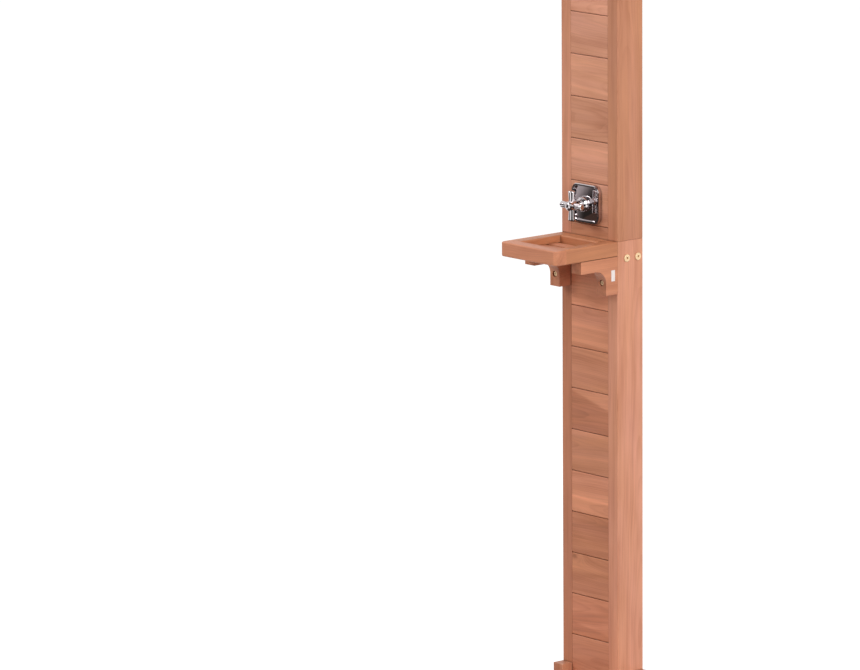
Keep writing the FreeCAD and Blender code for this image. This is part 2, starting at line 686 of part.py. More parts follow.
# ---- soap tray ----------------------------------------------------------------
def tray():
    top = Z_JOINT
    low = top - TRAY_HEIGHT
    y_front = Y_FRONT - TRAY_DEPTH
    y_inner_front = y_front + TRAY_RAIL
    y_inner_back = Y_FRONT - TRAY_RAIL
    x_inner = HALF_WIDTH - TRAY_RAIL
    groove_top = top - TRAY_SLAT_DEPTH
    groove = box(-x_inner - TRAY_SLAT_SEAT, x_inner + TRAY_SLAT_SEAT, y_inner_front, y_inner_back,
                 groove_top - TRAY_SLAT_THICKNESS, groove_top)
    front = box(-HALF_WIDTH, HALF_WIDTH, y_front, y_inner_front, low, top)
    front = front.makeFillet(TRAY_CORNER, edges_along(front, Z_AXIS, lambda c: c.y < y_front + NEAR))
    rims = [edge for edge in front.Edges
            if abs(edge.CenterOfMass.z - top) < NEAR and edge.CenterOfMass.y < y_inner_front - NEAR]
    rims += [edge for edge in front.Edges
             if abs(edge.CenterOfMass.z - low) < NEAR and edge.CenterOfMass.y < y_inner_front - NEAR]
    save("tray_front_rail", [front.makeFillet(TRAY_ROUND, rims)])
    for side, name in ((-1, "left"), (1, "right")):
        outer = side * HALF_WIDTH
        inner = side * x_inner
        rail = box(min(outer, inner), max(outer, inner), y_inner_front, Y_FRONT, low, top)
        soft = edges_along(rail, Y_AXIS, lambda c: c.z > top - NEAR or abs(c.x) > x_inner + NEAR)
        rail = rail.makeFillet(TRAY_ROUND, soft)
        save("tray_" + name + "_rail", [rail.cut(groove)])
    back = box(-x_inner, x_inner, y_inner_back, Y_FRONT, low, top)
    soft = edges_along(back, X_AXIS, lambda c: c.y < y_inner_back + NEAR and c.z > top - NEAR)
    back = back.makeFillet(TRAY_ROUND, soft)
    save("tray_back_rail", [back])
    room = y_inner_back - y_inner_front - (TRAY_SLAT_COUNT + 1) * TRAY_SLAT_GAP
    width = room / TRAY_SLAT_COUNT
    slats = []
    for i in range(TRAY_SLAT_COUNT):
        y = y_inner_front + TRAY_SLAT_GAP + i * (width + TRAY_SLAT_GAP)
        slats.append(box(-x_inner - TRAY_SLAT_SEAT, x_inner + TRAY_SLAT_SEAT, y, y + width,
                         groove_top - TRAY_SLAT_THICKNESS, groove_top))
    save("tray_slats", slats)


def bracket(side, hole):
    """A cove-cut bracket under the tray, its outer face flush with the column's side."""
    top = Z_JOINT - TRAY_HEIGHT
    low = top - BRACKET_HEIGHT
    tip = top - BRACKET_TIP
    y_tip = Y_FRONT - BRACKET_DEPTH
    y_leg = Y_FRONT - BRACKET_LEG
    x = side * HALF_WIDTH

    def at(y, z):
        return vec(x, y, z)

    bend = BRACKET_COVE * (1 - math.sqrt(0.5))
    edges = [
        Part.LineSegment(at(y_tip, top), at(y_tip, tip)),
        Part.LineSegment(at(y_tip, tip), at(y_leg - BRACKET_COVE, tip)),
        Part.Arc(at(y_leg - BRACKET_COVE, tip), at(y_leg - bend, tip - bend), at(y_leg, tip - BRACKET_COVE)),
        Part.LineSegment(at(y_leg, tip - BRACKET_COVE), at(y_leg, low)),
        Part.LineSegment(at(y_leg, low), at(Y_FRONT, low)),
        Part.LineSegment(at(Y_FRONT, low), at(Y_FRONT, top)),
        Part.LineSegment(at(Y_FRONT, top), at(y_tip, top)),
    ]
    outline = Part.Wire([edge.toShape() for edge in edges])
    return Part.Face(outline).extrude(X_AXIS * (-side * BRACKET_THICKNESS)).cut(hole)


def brackets():
    screws = []
    for side, name in ((-1, "left"), (1, "right")):
        seat = bracket_screw_place(side)
        hole = screw_hole(seat, Y_AXIS, BRACKET_SCREW_LENGTH, COUNTERBORE_DEPTH + BRACKET_COVE)
        save("tray_bracket_" + name, [bracket(side, hole)])
        screws.append(screw(seat, Y_AXIS, BRACKET_SCREW_LENGTH))
    save("bracket_screws", screws)
    y = Y_FRONT - TAG_FROM_POST
    z = Z_JOINT - TAG_DROP
    save("blank_tag", [box(HALF_WIDTH, HALF_WIDTH + TAG_THICKNESS, y - TAG_WIDTH / 2, y + TAG_WIDTH / 2,
                           z - TAG_HEIGHT / 2, z + TAG_HEIGHT / 2)])


# ---- foot cleats --------------------------------------------------------------
def cleats():
    seats = cleat_screw_seats()
    holes = [screw_hole(seat, run, CLEAT_SCREW_LENGTH, COUNTERBORE_DEPTH + OVERCUT) for seat, run in seats]
    top = Z_FOOT + CLEAT_HEIGHT
    front = []
    flank = []
    for side in (-1, 1):
        x0 = side * (HALF_WIDTH - CLEAT_WIDTH)
        x1 = side * HALF_WIDTH
        x2 = side * (HALF_WIDTH + CLEAT_THICKNESS)
        block = box(min(x0, x1), max(x0, x1), Y_FRONT - CLEAT_THICKNESS, Y_FRONT, Z_FOOT, top)
        soft = edges_along(block, Z_AXIS, lambda c: c.y < Y_FRONT - NEAR) + edges_along(
            block, X_AXIS, lambda c: c.z > Z_FOOT + NEAR and c.y < Y_FRONT - NEAR)
        front.append(cut_near(block.makeFillet(CLEAT_ROUND, soft), holes))
        block = box(min(x1, x2), max(x1, x2), Y_BACK - CLEAT_WIDTH, Y_BACK, Z_FOOT, top)
        soft = edges_along(block, Z_AXIS, lambda c: abs(c.x) > HALF_WIDTH + NEAR) + edges_along(
            block, Y_AXIS, lambda c: c.z > Z_FOOT + NEAR and abs(c.x) > HALF_WIDTH + NEAR)
        flank.append(cut_near(block.makeFillet(CLEAT_ROUND, soft), holes))
    save("front_foot_cleats", front)
    save("side_foot_cleats", flank)
    save("cleat_screws", [screw(seat, run, CLEAT_SCREW_LENGTH) for seat, run in seats])


# ---- stop valve ---------------------------------------------------------------
DOME_FALL = PLATE_DOME - math.sqrt(PLATE_DOME ** 2 - BONNET_BASE_RADIUS ** 2)
BONNET_SEAT = PLATE_THICKNESS - PLATE_DOME_DROP - DOME_FALL


def valve_point(reach, x=0.0, z=0.0):
    """A point this far out from the column's front face, beside the valve's axis."""
    return vec(VALVE_X + x, Y_FRONT - reach, Z_VALVE + z)


def valve_turned(outline):
    """A solid of revolution about the valve's axis; heights are reaches from the front face."""
    return revolve(outline, valve_point(0), Y_AXIS * -1, vec(1, 0, 1).normalize())


def valve_plate():
    """A square plate with a raised rim round a shallow dome, and a flat seat for the bonnet."""
    half_x = PLATE_WIDTH / 2
    half_z = PLATE_HEIGHT / 2
    plate = box(VALVE_X - half_x, VALVE_X + half_x, Y_FRONT - PLATE_THICKNESS, Y_FRONT,
                Z_VALVE - half_z, Z_VALVE + half_z)
    plate = plate.makeFillet(PLATE_CORNER, edges_along(plate, Y_AXIS, lambda c: True))
    face = Y_FRONT - PLATE_THICKNESS
    rim = [edge for edge in plate.Edges if abs(edge.CenterOfMass.y - face) < NEAR]
    plate = plate.makeChamfer(PLATE_BEVEL, rim)
    in_x = half_x - PLATE_RIM
    in_z = half_z - PLATE_RIM
    recess = box(VALVE_X - in_x, VALVE_X + in_x, face - OVERCUT, face + PLATE_RECESS,
                 Z_VALVE - in_z, Z_VALVE + in_z)
    recess = recess.makeFillet(PLATE_CORNER - PLATE_RIM, edges_along(recess, Y_AXIS, lambda c: True))
    crown = PLATE_THICKNESS - PLATE_DOME_DROP
    recess = recess.cut(Part.makeSphere(PLATE_DOME, valve_point(crown - PLATE_DOME)))
    past = valve_point(PLATE_THICKNESS + OVERCUT)
    seat = rod(BONNET_BASE_RADIUS + CLEARANCE, valve_point(BONNET_SEAT), past)
    opening = rod(NECK_RADIUS + CLEARANCE, valve_point(-OVERCUT), past)
    return plate.cut([recess, seat, opening])


def valve_body():
    """The brass body: a barrel behind the boards, a neck through the plate, two pipe sockets."""
    back = VALVE_DEPTH + PIPE_RADIUS
    barrel = rod(BODY_RADIUS, valve_point(0), valve_point(-back))
    neck = rod(NECK_RADIUS, valve_point(0), valve_point(NECK_REACH))
    sockets = []
    bores = []
    for way in (-1, 1):
        start = vec(VALVE_X, Y_PIPE, Z_VALVE)
        end = start + Z_AXIS * (way * ELBOW_REACH)
        mouth = start + Z_AXIS * (way * (ELBOW_REACH - SOCKET_DEPTH))
        sockets.append(rod(ELBOW_RADIUS, start, end))
        bores.append(rod(PIPE_RADIUS + RUNNING_CLEARANCE, mouth, end))
        bores.append(rod(FITTING_BORE, start, end))
    chamber_end = valve_point(-VALVE_DEPTH + PIPE_BORE)
    chamber = rod(CARTRIDGE_RADIUS + CLEARANCE, valve_point(NECK_REACH + OVERCUT), chamber_end)
    return barrel.fuse([neck] + sockets).cut(bores + [chamber])


def cross_handle():
    """Hub and four arms, drawn about the origin and then moved to the valve's axis."""
    def out(reach):
        return Y_AXIS * -reach

    hub_back = HUB_REACH - HUB_LENGTH / 2
    hub_front = HUB_REACH + HUB_LENGTH / 2
    narrow = HUB_RADIUS - HUB_BEVEL
    hub = revolve([(0, hub_back), (narrow, hub_back), (HUB_RADIUS, hub_back + HUB_BEVEL),
                   (HUB_RADIUS, hub_front - HUB_BEVEL), (narrow, hub_front), (0, hub_front)],
                  vec(0, 0, 0), Y_AXIS * -1, X_AXIS)
    arms = []
    root = HUB_RADIUS - ARM_ROOT_SINK
    for direction in (X_AXIS, X_AXIS * -1, Z_AXIS, Z_AXIS * -1):
        start = out(HUB_REACH) + direction * root
        arm = Part.makeCone(ARM_ROOT_RADIUS, ARM_TIP_RADIUS, ARM_LENGTH - root, start, direction)
        tip = out(HUB_REACH) + direction * ARM_LENGTH
        rim = [edge for edge in arm.Edges if edge.CenterOfMass.isEqual(tip, NEAR)]
        arms.append(arm.makeFillet(ARM_TIP_ROUND, rim))
    past = out(hub_front + OVERCUT)
    bore = rod(SPINDLE_RADIUS + RUNNING_CLEARANCE, out(hub_back - OVERCUT),
               out(HUB_REACH + SPINDLE_PAST_ARMS))
    screw_way = rod(HANDLE_SCREW_RADIUS + CLEARANCE, out(HUB_REACH), past)
    seat = rod(HANDLE_SCREW_HEAD + CLEARANCE, out(hub_front - HANDLE_SCREW_SINK), past)
    handle = hub.fuse(arms).cut([bore, screw_way, seat])
    handle.translate(valve_point(0))
    return handle


def stop_valve():
    half_x = X_CAVITY - SPLICE_THICKNESS
    half_z = VALVE_BLOCK_HEIGHT / 2
    block = box(-half_x, half_x, Y_CAVITY_FRONT, Y_PIPE - ELBOW_RADIUS - VALVE_BLOCK_GAP,
                Z_VALVE - half_z, Z_VALVE + half_z)
    block = block.cut(rod(BODY_RADIUS + CLEARANCE, valve_point(0), valve_point(-VALVE_DEPTH)))
    save("valve_mounting_block", [block])
    save("valve_body", [valve_body()])
    save("valve_plate", [valve_plate()])
    foot = BONNET_SEAT
    top = BONNET_TOP_RADIUS
    way = SPINDLE_RADIUS + BONNET_PLAY
    waist = (BONNET_BASE_RADIUS - BONNET_SWELL[0], foot + BONNET_SWELL[1])
    bell = [(BONNET_BASE_RADIUS, foot), (BONNET_BASE_RADIUS, foot + BONNET_FOOT),
            ("arc", waist, (top, BONNET_REACH - BONNET_COLLAR)), (top, BONNET_REACH),
            (way, BONNET_REACH), (way, NECK_REACH + BONNET_PLAY),
            (NECK_RADIUS + CLEARANCE, NECK_REACH + CLEARANCE), (NECK_RADIUS + CLEARANCE, foot)]
    save("valve_bonnet", [valve_turned(bell)])
    inner = -VALVE_DEPTH + PIPE_BORE
    save("valve_cartridge", [tube(CARTRIDGE_RADIUS, SPINDLE_RADIUS + RUNNING_CLEARANCE,
                                  valve_point(NECK_REACH), valve_point(inner))])
    spindle_end = valve_point(HUB_REACH + SPINDLE_PAST_ARMS)
    save("valve_spindle", [rod(SPINDLE_RADIUS, valve_point(inner + SPINDLE_RADIUS), spindle_end)])
    save("cross_handle", [cross_handle()])
    front = HUB_REACH + HUB_LENGTH / 2
    seat = front - HANDLE_SCREW_SINK
    head = rod(HANDLE_SCREW_HEAD, valve_point(seat), valve_point(front - CLEARANCE))
    save("handle_screw", [head.fuse(rod(HANDLE_SCREW_RADIUS, valve_point(seat), spindle_end))])
    crown = front + BUTTON_EDGE + BUTTON_HEIGHT
    dome = (BUTTON_RADIUS ** 2 + BUTTON_HEIGHT ** 2) / (2 * BUTTON_HEIGHT)
    button = rod(BUTTON_RADIUS, valve_point(front), valve_point(crown))
    ball = Part.makeSphere(dome, valve_point(crown - dome))
    save("handle_button", [button.common(ball)])


# ---- plumbing -----------------------------------------------------------------
def fitting(centre, ways):
    """A brass elbow; ways is (direction, outer radius, bore of the socket, reach) for each end."""
    body = Part.makeSphere(ELBOW_RADIUS, centre)
    cuts = [Part.makeSphere(FITTING_CHAMBER, centre)]
    for direction, outer, bore, reach in ways:
        end = centre + direction * reach
        body = body.fuse(rod(outer, centre, end))
        cuts.append(rod(bore, end - direction * SOCKET_DEPTH, end))
        cuts.append(rod(FITTING_BORE, centre, end))
    return body.cut(cuts)


def plumbing():
    pipe_bore = PIPE_RADIUS + RUNNING_CLEARANCE
    shoulder = ELBOW_REACH - SOCKET_DEPTH
    inlet = vec(0, Y_PIPE, Z_INLET)
    outlet = vec(0, Y_PIPE, Z_ARM)
    tail_reach = Y_NOGGIN - Y_PIPE
    up = (Z_AXIS, ELBOW_RADIUS, pipe_bore, ELBOW_REACH)
    save("inlet_elbow", [fitting(inlet, [up, (Y_AXIS, TAIL_RADIUS, FITTING_BORE, tail_reach)])])
    arm_way = Y_PIPE - Y_CAVITY_FRONT - ARM_SOCKET_GAP
    arm_bore = PIPE_ARM_RADIUS + RUNNING_CLEARANCE
    down = (Z_AXIS * -1, ELBOW_RADIUS, pipe_bore, ELBOW_REACH)
    ahead = (Y_AXIS * -1, PIPE_ARM_RADIUS + ARM_SOCKET_WALL, arm_bore, arm_way)
    save("arm_elbow", [fitting(outlet, [down, ahead])])
    jog = Z_JOINT - SPLICE_BELOW - PIPE_JOG_LENGTH
    rise = [inlet + Z_AXIS * shoulder, vec(0, Y_PIPE, jog), vec(VALVE_X, Y_PIPE, jog + PIPE_JOG_LENGTH),
            vec(VALVE_X, Y_PIPE, Z_VALVE - shoulder)]
    save("inlet_pipe", [bent_tube(rise, PIPE_RADIUS, PIPE_BORE, PIPE_BEND)])
    jog = Z_JOINT + SPLICE_ABOVE
    rise = [vec(VALVE_X, Y_PIPE, Z_VALVE + shoulder), vec(VALVE_X, Y_PIPE, jog),
            vec(0, Y_PIPE, jog + PIPE_JOG_LENGTH), outlet - Z_AXIS * shoulder]
    save("riser_pipe", [bent_tube(rise, PIPE_RADIUS, PIPE_BORE, PIPE_BEND)])
    clips = []
    for z in LOWER_CLIP_HEIGHTS + UPPER_CLIP_HEIGHTS:
        low = vec(0, Y_PIPE, z - CLIP_WIDTH / 2)
        high = vec(0, Y_PIPE, z + CLIP_WIDTH / 2)
        foot = box(-CLIP_FOOT, CLIP_FOOT, Y_PIPE + PIPE_RADIUS - CLEARANCE, Y_NOGGIN,
                   z - CLIP_WIDTH / 2, z + CLIP_WIDTH / 2)
        ring = rod(PIPE_RADIUS + CLIP_WALL, low, high)
        clips.append(ring.fuse(foot).cut(rod(PIPE_RADIUS + CLEARANCE, low, high)))
    save("pipe_clips", clips)


def hose_inlet():
    """The tail through the back of the column, and the swivel nut that a hose screws into."""
    def at(y):
        return vec(0, y, Z_INLET)

    flange_face = Y_BACK + BACK_FLANGE_THICKNESS
    lip = flange_face + FREE_CLEARANCE
    tail_end = lip + NUT_LIP + FREE_CLEARANCE
    seat = tail_end + TAIL_FLANGE_THICKNESS
    flare = rod(TAIL_FLANGE_RADIUS, at(tail_end), at(seat))
    tail = rod(TAIL_RADIUS, at(Y_NOGGIN), at(tail_end)).fuse(flare)
    save("inlet_tailpiece", [tail.cut(rod(TAIL_BORE, at(Y_NOGGIN), at(seat)))])
    flange = Part.makeCylinder(BACK_FLANGE_RADIUS, BACK_FLANGE_THICKNESS, at(Y_BACK), Y_AXIS)
    rim = [edge for edge in flange.Edges if edge.CenterOfMass.isEqual(at(flange_face), NEAR)]
    way = rod(TAIL_RADIUS + RUNNING_CLEARANCE, at(Y_BACK - OVERCUT), at(flange_face + OVERCUT))
    save("inlet_flange", [flange.makeFillet(BACK_FLANGE_ROUND, rim).cut(way)])
    nut = rod(NUT_RADIUS, at(lip), at(lip + NUT_LENGTH))
    rims = [edge for edge in nut.Edges if edge.Curve.TypeId == "Part::GeomCircle"]
    nut = nut.makeChamfer(NUT_BEVEL, rims)
    thread_start = seat + WASHER_THICKNESS
    nut_end = lip + NUT_LENGTH
    cuts = [rod(TAIL_RADIUS + FREE_CLEARANCE, at(lip - OVERCUT), at(lip + NUT_LIP + OVERCUT)),
            rod(NUT_THREAD_RADIUS - NUT_STEP, at(lip + NUT_LIP), at(thread_start)),
            rod(NUT_THREAD_RADIUS, at(thread_start), at(nut_end + OVERCUT))]
    for i in range(NUT_GRIPS):
        turn = 2 * math.pi * i / NUT_GRIPS
        reach = NUT_RADIUS + NUT_GRIP_RADIUS - NUT_GRIP_DEPTH
        x = reach * math.cos(turn)
        z = Z_INLET + reach * math.sin(turn)
        cuts.append(rod(NUT_GRIP_RADIUS, vec(x, lip - OVERCUT, z), vec(x, nut_end + OVERCUT, z)))
    save("hose_nut", [nut.cut(cuts)])
    save("hose_washer", [tube(TAIL_FLANGE_RADIUS, TAIL_BORE, at(seat), at(seat + WASHER_THICKNESS))])


# ---- shower arm and head ------------------------------------------------------
def head_turned(outline):
    """A solid of revolution about the head's axis; heights are above the ball's centre."""
    return revolve(outline, vec(0, Y_HEAD, Z_BALL), Z_AXIS, X_AXIS)


def on_sphere(radius, angle):
    """The (radius, height) pair at an angle above the ball's middle."""
    return (radius * math.cos(math.radians(angle)), radius * math.sin(math.radians(angle)))


def shower_arm():
    y_seat = Y_CAVITY_FRONT + ARM_SOCKET_GAP + SOCKET_DEPTH
    arm_end = Z_BALL + BALL_NECK_TOP + BALL_COLLAR
    path = [vec(0, y_seat, Z_ARM), vec(0, Y_HEAD, Z_ARM), vec(0, Y_HEAD, arm_end)]
    save("shower_arm", [bent_tube(path, PIPE_ARM_RADIUS, PIPE_ARM_RADIUS - PIPE_ARM_WALL, PIPE_ARM_BEND)])
    inner = PIPE_ARM_RADIUS + CLEARANCE
    wide = ARM_FLANGE_RADIUS
    deep = ARM_FLANGE_THICKNESS
    nose = inner + ARM_FLANGE_NOSE
    shoulder = ((wide + nose) / 2 + ARM_FLANGE_EDGE, (ARM_FLANGE_EDGE + deep) / 2)
    dome = [(inner, 0), (wide, 0), (wide, ARM_FLANGE_EDGE), ("arc", shoulder, (nose, deep)), (inner, deep)]
    save("arm_flange", [revolve(dome, vec(0, Y_FRONT, Z_ARM), Y_AXIS * -1, X_AXIS)])
    collar_top = BALL_NECK_TOP + BALL_COLLAR
    ball = Part.makeSphere(BALL_RADIUS, vec(0, Y_HEAD, Z_BALL))
    stub_top = collar_top + BALL_STUB
    stub_radius = PIPE_ARM_RADIUS - PIPE_ARM_WALL - RUNNING_CLEARANCE

    def at(height):
        return vec(0, Y_HEAD, Z_BALL + height)

    neck = rod(BALL_NECK_RADIUS, at(0), at(collar_top))
    collar = rod(PIPE_ARM_RADIUS, at(BALL_NECK_TOP), at(collar_top))
    stub = rod(stub_radius, at(BALL_NECK_TOP), at(stub_top))
    water = rod(BALL_BORE, at(-BALL_RADIUS - OVERCUT), at(stub_top + OVERCUT))
    save("arm_ball", [ball.fuse([neck, collar, stub]).cut(water)])


def ball_joint():
    inner = BALL_RADIUS + BALL_CLEARANCE
    outer = inner + SEAL_THICKNESS
    middle = (SEAL_LOW_ANGLE + SEAL_HIGH_ANGLE) / 2
    seal = [on_sphere(inner, -SEAL_HIGH_ANGLE),
            ("arc", on_sphere(inner, -middle), on_sphere(inner, -SEAL_LOW_ANGLE)),
            on_sphere(outer, -SEAL_LOW_ANGLE),
            ("arc", on_sphere(outer, -middle), on_sphere(outer, -SEAL_HIGH_ANGLE))]
    save("ball_seal", [head_turned(seal)])
    lip_angle = math.degrees(math.asin((BALL_NUT_TOP - BALL_NUT_LIP_DROP) / inner))
    lip = on_sphere(inner, lip_angle)
    bore = BOSS_RADIUS + BALL_CLEARANCE
    relief = CUP_RADIUS + BALL_CLEARANCE
    seat = BALL_CLEARANCE - BOSS_TOP
    nut = [(bore, -BALL_NUT_BOTTOM), (BALL_NUT_RADIUS, -BALL_NUT_BOTTOM),
           (BALL_NUT_RADIUS, BALL_NUT_TOP - BALL_NUT_BEVEL), (BALL_NUT_RADIUS - BALL_NUT_BEVEL, BALL_NUT_TOP),
           (lip[0] + BALL_NUT_LIP_WALL, BALL_NUT_TOP), lip,
           ("arc", on_sphere(inner, lip_angle / 2), (inner, 0)),
           (relief, 0), (relief, seat), (bore, seat)]
    grips = []
    for i in range(BALL_NUT_GRIPS):
        turn = 2 * math.pi * i / BALL_NUT_GRIPS
        reach = BALL_NUT_RADIUS + BALL_NUT_GRIP_RADIUS - BALL_NUT_GRIP_DEPTH
        x = reach * math.cos(turn)
        y = Y_HEAD + reach * math.sin(turn)
        grips.append(rod(BALL_NUT_GRIP_RADIUS, vec(x, y, Z_BALL - BALL_NUT_BOTTOM - OVERCUT),
                         vec(x, y, Z_BALL + BALL_NUT_TOP + OVERCUT)))
    save("ball_nut", [head_turned(nut).cut(grips)])


def nozzle_places():
    places = [(0.0, 0.0)]
    for ring in range(1, NOZZLE_RINGS + 1):
        for i in range(6 * ring):
            turn = 2 * math.pi * i / (6 * ring)
            places.append((ring * NOZZLE_SPACING * math.cos(turn), ring * NOZZLE_SPACING * math.sin(turn)))
    return places


def rain_head():
    way = HEAD_WATERWAY
    cup_low = -math.degrees(math.acos(way / CUP_RADIUS))
    cup_high = -math.degrees(math.asin(BOSS_TOP / CUP_RADIUS))
    cup_middle = (cup_low + cup_high) / 2
    rim_top = -HEAD_SHOULDER - HEAD_EDGE_DROP
    root = BOSS_RADIUS + HEAD_ROOT
    edge = HEAD_RADIUS - HEAD_EDGE
    inside = HEAD_RADIUS - HEAD_WALL
    corner = (HEAD_RADIUS - HEAD_EDGE_BULGE[0], -HEAD_SHOULDER - HEAD_EDGE_BULGE[1])
    rim_low = rim_top - HEAD_RIM
    under = -HEAD_TOP - HEAD_WALL
    shell = [(BOSS_RADIUS, -BOSS_TOP), (BOSS_RADIUS, -BOSS_TOP - BOSS_HEIGHT), (root, -HEAD_TOP),
             (edge, -HEAD_SHOULDER), ("arc", corner, (HEAD_RADIUS, rim_top)),
             (HEAD_RADIUS, rim_low), (inside, rim_low), (inside, rim_top - HEAD_WALL / 2),
             (edge - HEAD_WALL / 2, -HEAD_SHOULDER - HEAD_WALL), (root, under), (way, under),
             on_sphere(CUP_RADIUS, cup_low),
             ("arc", on_sphere(CUP_RADIUS, cup_middle), on_sphere(CUP_RADIUS, cup_high))]
    save("head_shell", [head_turned(shell)])
    centre = vec(0, Y_HEAD, Z_BALL)
    plate = rod(inside - CLEARANCE, centre + Z_AXIS * rim_low, centre + Z_AXIS * (rim_low + FACE_THICKNESS))
    holes = []
    nozzles = []
    for x, y in nozzle_places():
        base = centre + vec(x, y, rim_low)
        seat = base + Z_AXIS * FACE_THICKNESS
        holes.append(rod(NOZZLE_RADIUS + CLEARANCE / 2, base - Z_AXIS * OVERCUT, seat + Z_AXIS * OVERCUT))
        flange_top = seat + Z_AXIS * NOZZLE_FLANGE_THICKNESS
        body = rod(NOZZLE_RADIUS, base, flange_top)
        flange = rod(NOZZLE_FLANGE_RADIUS, seat, flange_top)
        tip = Part.makeCone(NOZZLE_RADIUS, NOZZLE_TIP_RADIUS, NOZZLE_PROUD, base, Z_AXIS * -1)
        nozzles.append(body.fuse([flange, tip]))
    save("head_face", [plate.cut(holes)])
    save("head_nozzles", nozzles)


platform()
column()
splice()
tray()
brackets()
cleats()
stop_valve()
plumbing()
hose_inlet()
shower_arm()
ball_joint()
rain_head()
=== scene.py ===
"""The looks of an outdoor shower post: cedar boards, chrome valve, arm and rain head, brass fixings.

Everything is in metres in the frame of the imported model. +Z is up and the front faces -Y."""
import json
import math
import random

import bmesh
import bpy
from mathutils import Matrix, Vector


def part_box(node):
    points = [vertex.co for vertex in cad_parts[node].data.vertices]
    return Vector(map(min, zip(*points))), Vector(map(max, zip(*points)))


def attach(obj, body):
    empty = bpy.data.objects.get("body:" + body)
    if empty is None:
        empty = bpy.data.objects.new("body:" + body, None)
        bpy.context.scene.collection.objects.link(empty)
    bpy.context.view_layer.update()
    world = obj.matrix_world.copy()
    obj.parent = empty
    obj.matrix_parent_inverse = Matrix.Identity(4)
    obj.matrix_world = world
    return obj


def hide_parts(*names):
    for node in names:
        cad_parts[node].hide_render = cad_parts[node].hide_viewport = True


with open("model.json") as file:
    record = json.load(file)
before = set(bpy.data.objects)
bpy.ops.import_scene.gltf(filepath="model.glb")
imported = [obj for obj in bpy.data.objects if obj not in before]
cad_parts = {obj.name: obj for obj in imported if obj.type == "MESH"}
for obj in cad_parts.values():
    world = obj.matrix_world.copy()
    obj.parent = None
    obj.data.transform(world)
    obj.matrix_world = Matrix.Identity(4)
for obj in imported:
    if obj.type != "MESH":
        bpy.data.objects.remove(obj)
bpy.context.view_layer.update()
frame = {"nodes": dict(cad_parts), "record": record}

MM = 0.001

# ---- camera: angles in degrees ------------------------------------------------
IMAGE_WIDTH = 860
FOCAL_PIXELS = 6213.6
SENSOR_WIDTH = 36.0
CAMERA_AZIMUTH = 49.213
CAMERA_ELEVATION = 10.969
CAMERA_ROLL = -0.408
CAMERA_DISTANCE = 13.1314
# the nearest and the farthest that it sees
CAMERA_RANGE = (1.0, 200.0)
# the point that the camera looks at, from the middle of the joint between the sections
AIM_SIDEWAYS = -0.3643
AIM_UP = -0.2126

# ---- the sRGB curve: its straight part, and the offset and power of the rest --
CHANNEL_MAX = 255
STRAIGHT_END = 0.04045
STRAIGHT_SLOPE = 12.92
CURVE_OFFSET = 0.055
CURVE_POWER = 2.4

# ---- wood: colours ------------------------------------------------------------
# the colour of each kind of board in plain light
UPPER_PLANK = (198, 136, 107)
LOWER_PLANK = (213, 149, 120)
LOWER_LEFT_PLANK = (205, 134, 99)
FRONT_BOARD = (211, 149, 120)
LOWER_BOARD = (205, 138, 106)
BACK_BOARD = (196, 134, 106)
TRAY_WOOD = (205, 136, 101)
PLATFORM_WOOD = (198, 135, 105)
SAWN_WOOD = (186, 142, 108)
# what a board's colour is multiplied by where it is pinkest, most amber, and darkest
PINK = (1.02, 1.01, 1.09)
AMBER = (0.99, 0.96, 0.84)
DEEP = (1.0, 0.9, 0.84)
# how far the hue swings between pink and amber within a board
HUE_SWING = 0.8
# the shades between which the wood turns to its darkest hue
DEEP_SHADES = (0.04, -0.24)

# ---- wood: grain --------------------------------------------------------------
# how fine each pattern is per metre: along the grain, and across it both ways
SWAY_SCALE = (4.0, 14.0, 14.0)
RIPPLE_SCALE = (14.0, 90.0, 90.0)
FIBRE_SCALE = (22.0, 1000.0, 1000.0)
STREAK_SCALE = (4.0, 110.0, 110.0)
PATCH_SCALE = (6.0, 20.0, 20.0)
HUE_SCALE = (4.0, 26.0, 26.0)
WAVER_SCALE = (20.0, 60.0, 60.0)
# how strong the finest detail is in fibres, streaks and polish
FINE = 0.6
# sawn wood that stays hidden has its grain along X, and this stretches the patterns that way
SAWN_STRETCH = (0.5, 1.0, 1.0)

# the growth rings, and how far they sway, ripple and bend round a knot
RING_SPACING = 2.8 * MM
SWAY = 9 * MM
RIPPLE = 0.6 * MM
KNOT_PUSH = 16 * MM
# how fast the rings' spacing drifts from year to year, and by how many years
DRIFT_SCALE = 0.31
DRIFT = 1.1
# the parts of a year over which the late wood darkens, and ends
LATE_RISE = (0.3, 0.93)
LATE_FALL = (0.94, 1.0)
# how late wood differs between years: per year, per metre along, the swing and the mean
YEAR_SCALE = 0.17
YEAR_LENGTH_SCALE = 2.0
YEAR_SWING = 0.6
YEAR_MEAN = 0.65
# the slow change of tone over ten years or so: per year, and per metre along
DECADE_SCALE = 0.19
DECADE_LENGTH_SCALE = 1.2

# how much each part of the grain lightens the wood
LATE_SHADE = -0.12
DECADE_SHADE = 0.31
FIBRE_SHADE = 0.06
STREAK_SHADE = 0.19
PATCH_SHADE = 0.18
# arrises are lighter partly as wear and partly as a painted highlight where their rounding catches the
# light
ARRIS_WEAR_AND_HIGHLIGHT = 0.05
END_GRAIN_SHADE = -0.05
KNOT_SHADE = -0.35
# how light the wood is before they are added
MEAN_LIGHT = 1.03
# how squarely a face looks along the board where it begins to be end grain, and is all end grain
END_GRAIN = (0.65, 0.98)

# distances along the grain count for less round a knot, which makes it longer that way
KNOT_STRETCH = 0.45
# how fast the bend of the rings, and the knot's dark heart, fade away from its middle
KNOT_BEND = 0.25
KNOT_HEART = 3.0
# a knot farther off than any board is long
NO_KNOT = (9.0, 0.0, 1.0)
# how far the edge of a streak or of a change of tone wavers
FIGURE_WAVER = 5.0 * MM
NATURAL_BASE = 2.718

# ---- wood: surface ------------------------------------------------------------
# the roughness, and what the fibres and the late wood add to it
WOOD_ROUGHNESS = 0.47
FIBRE_ROUGHNESS = 0.06
LATE_ROUGHNESS = -0.06
WOOD_SPECULAR = 0.42
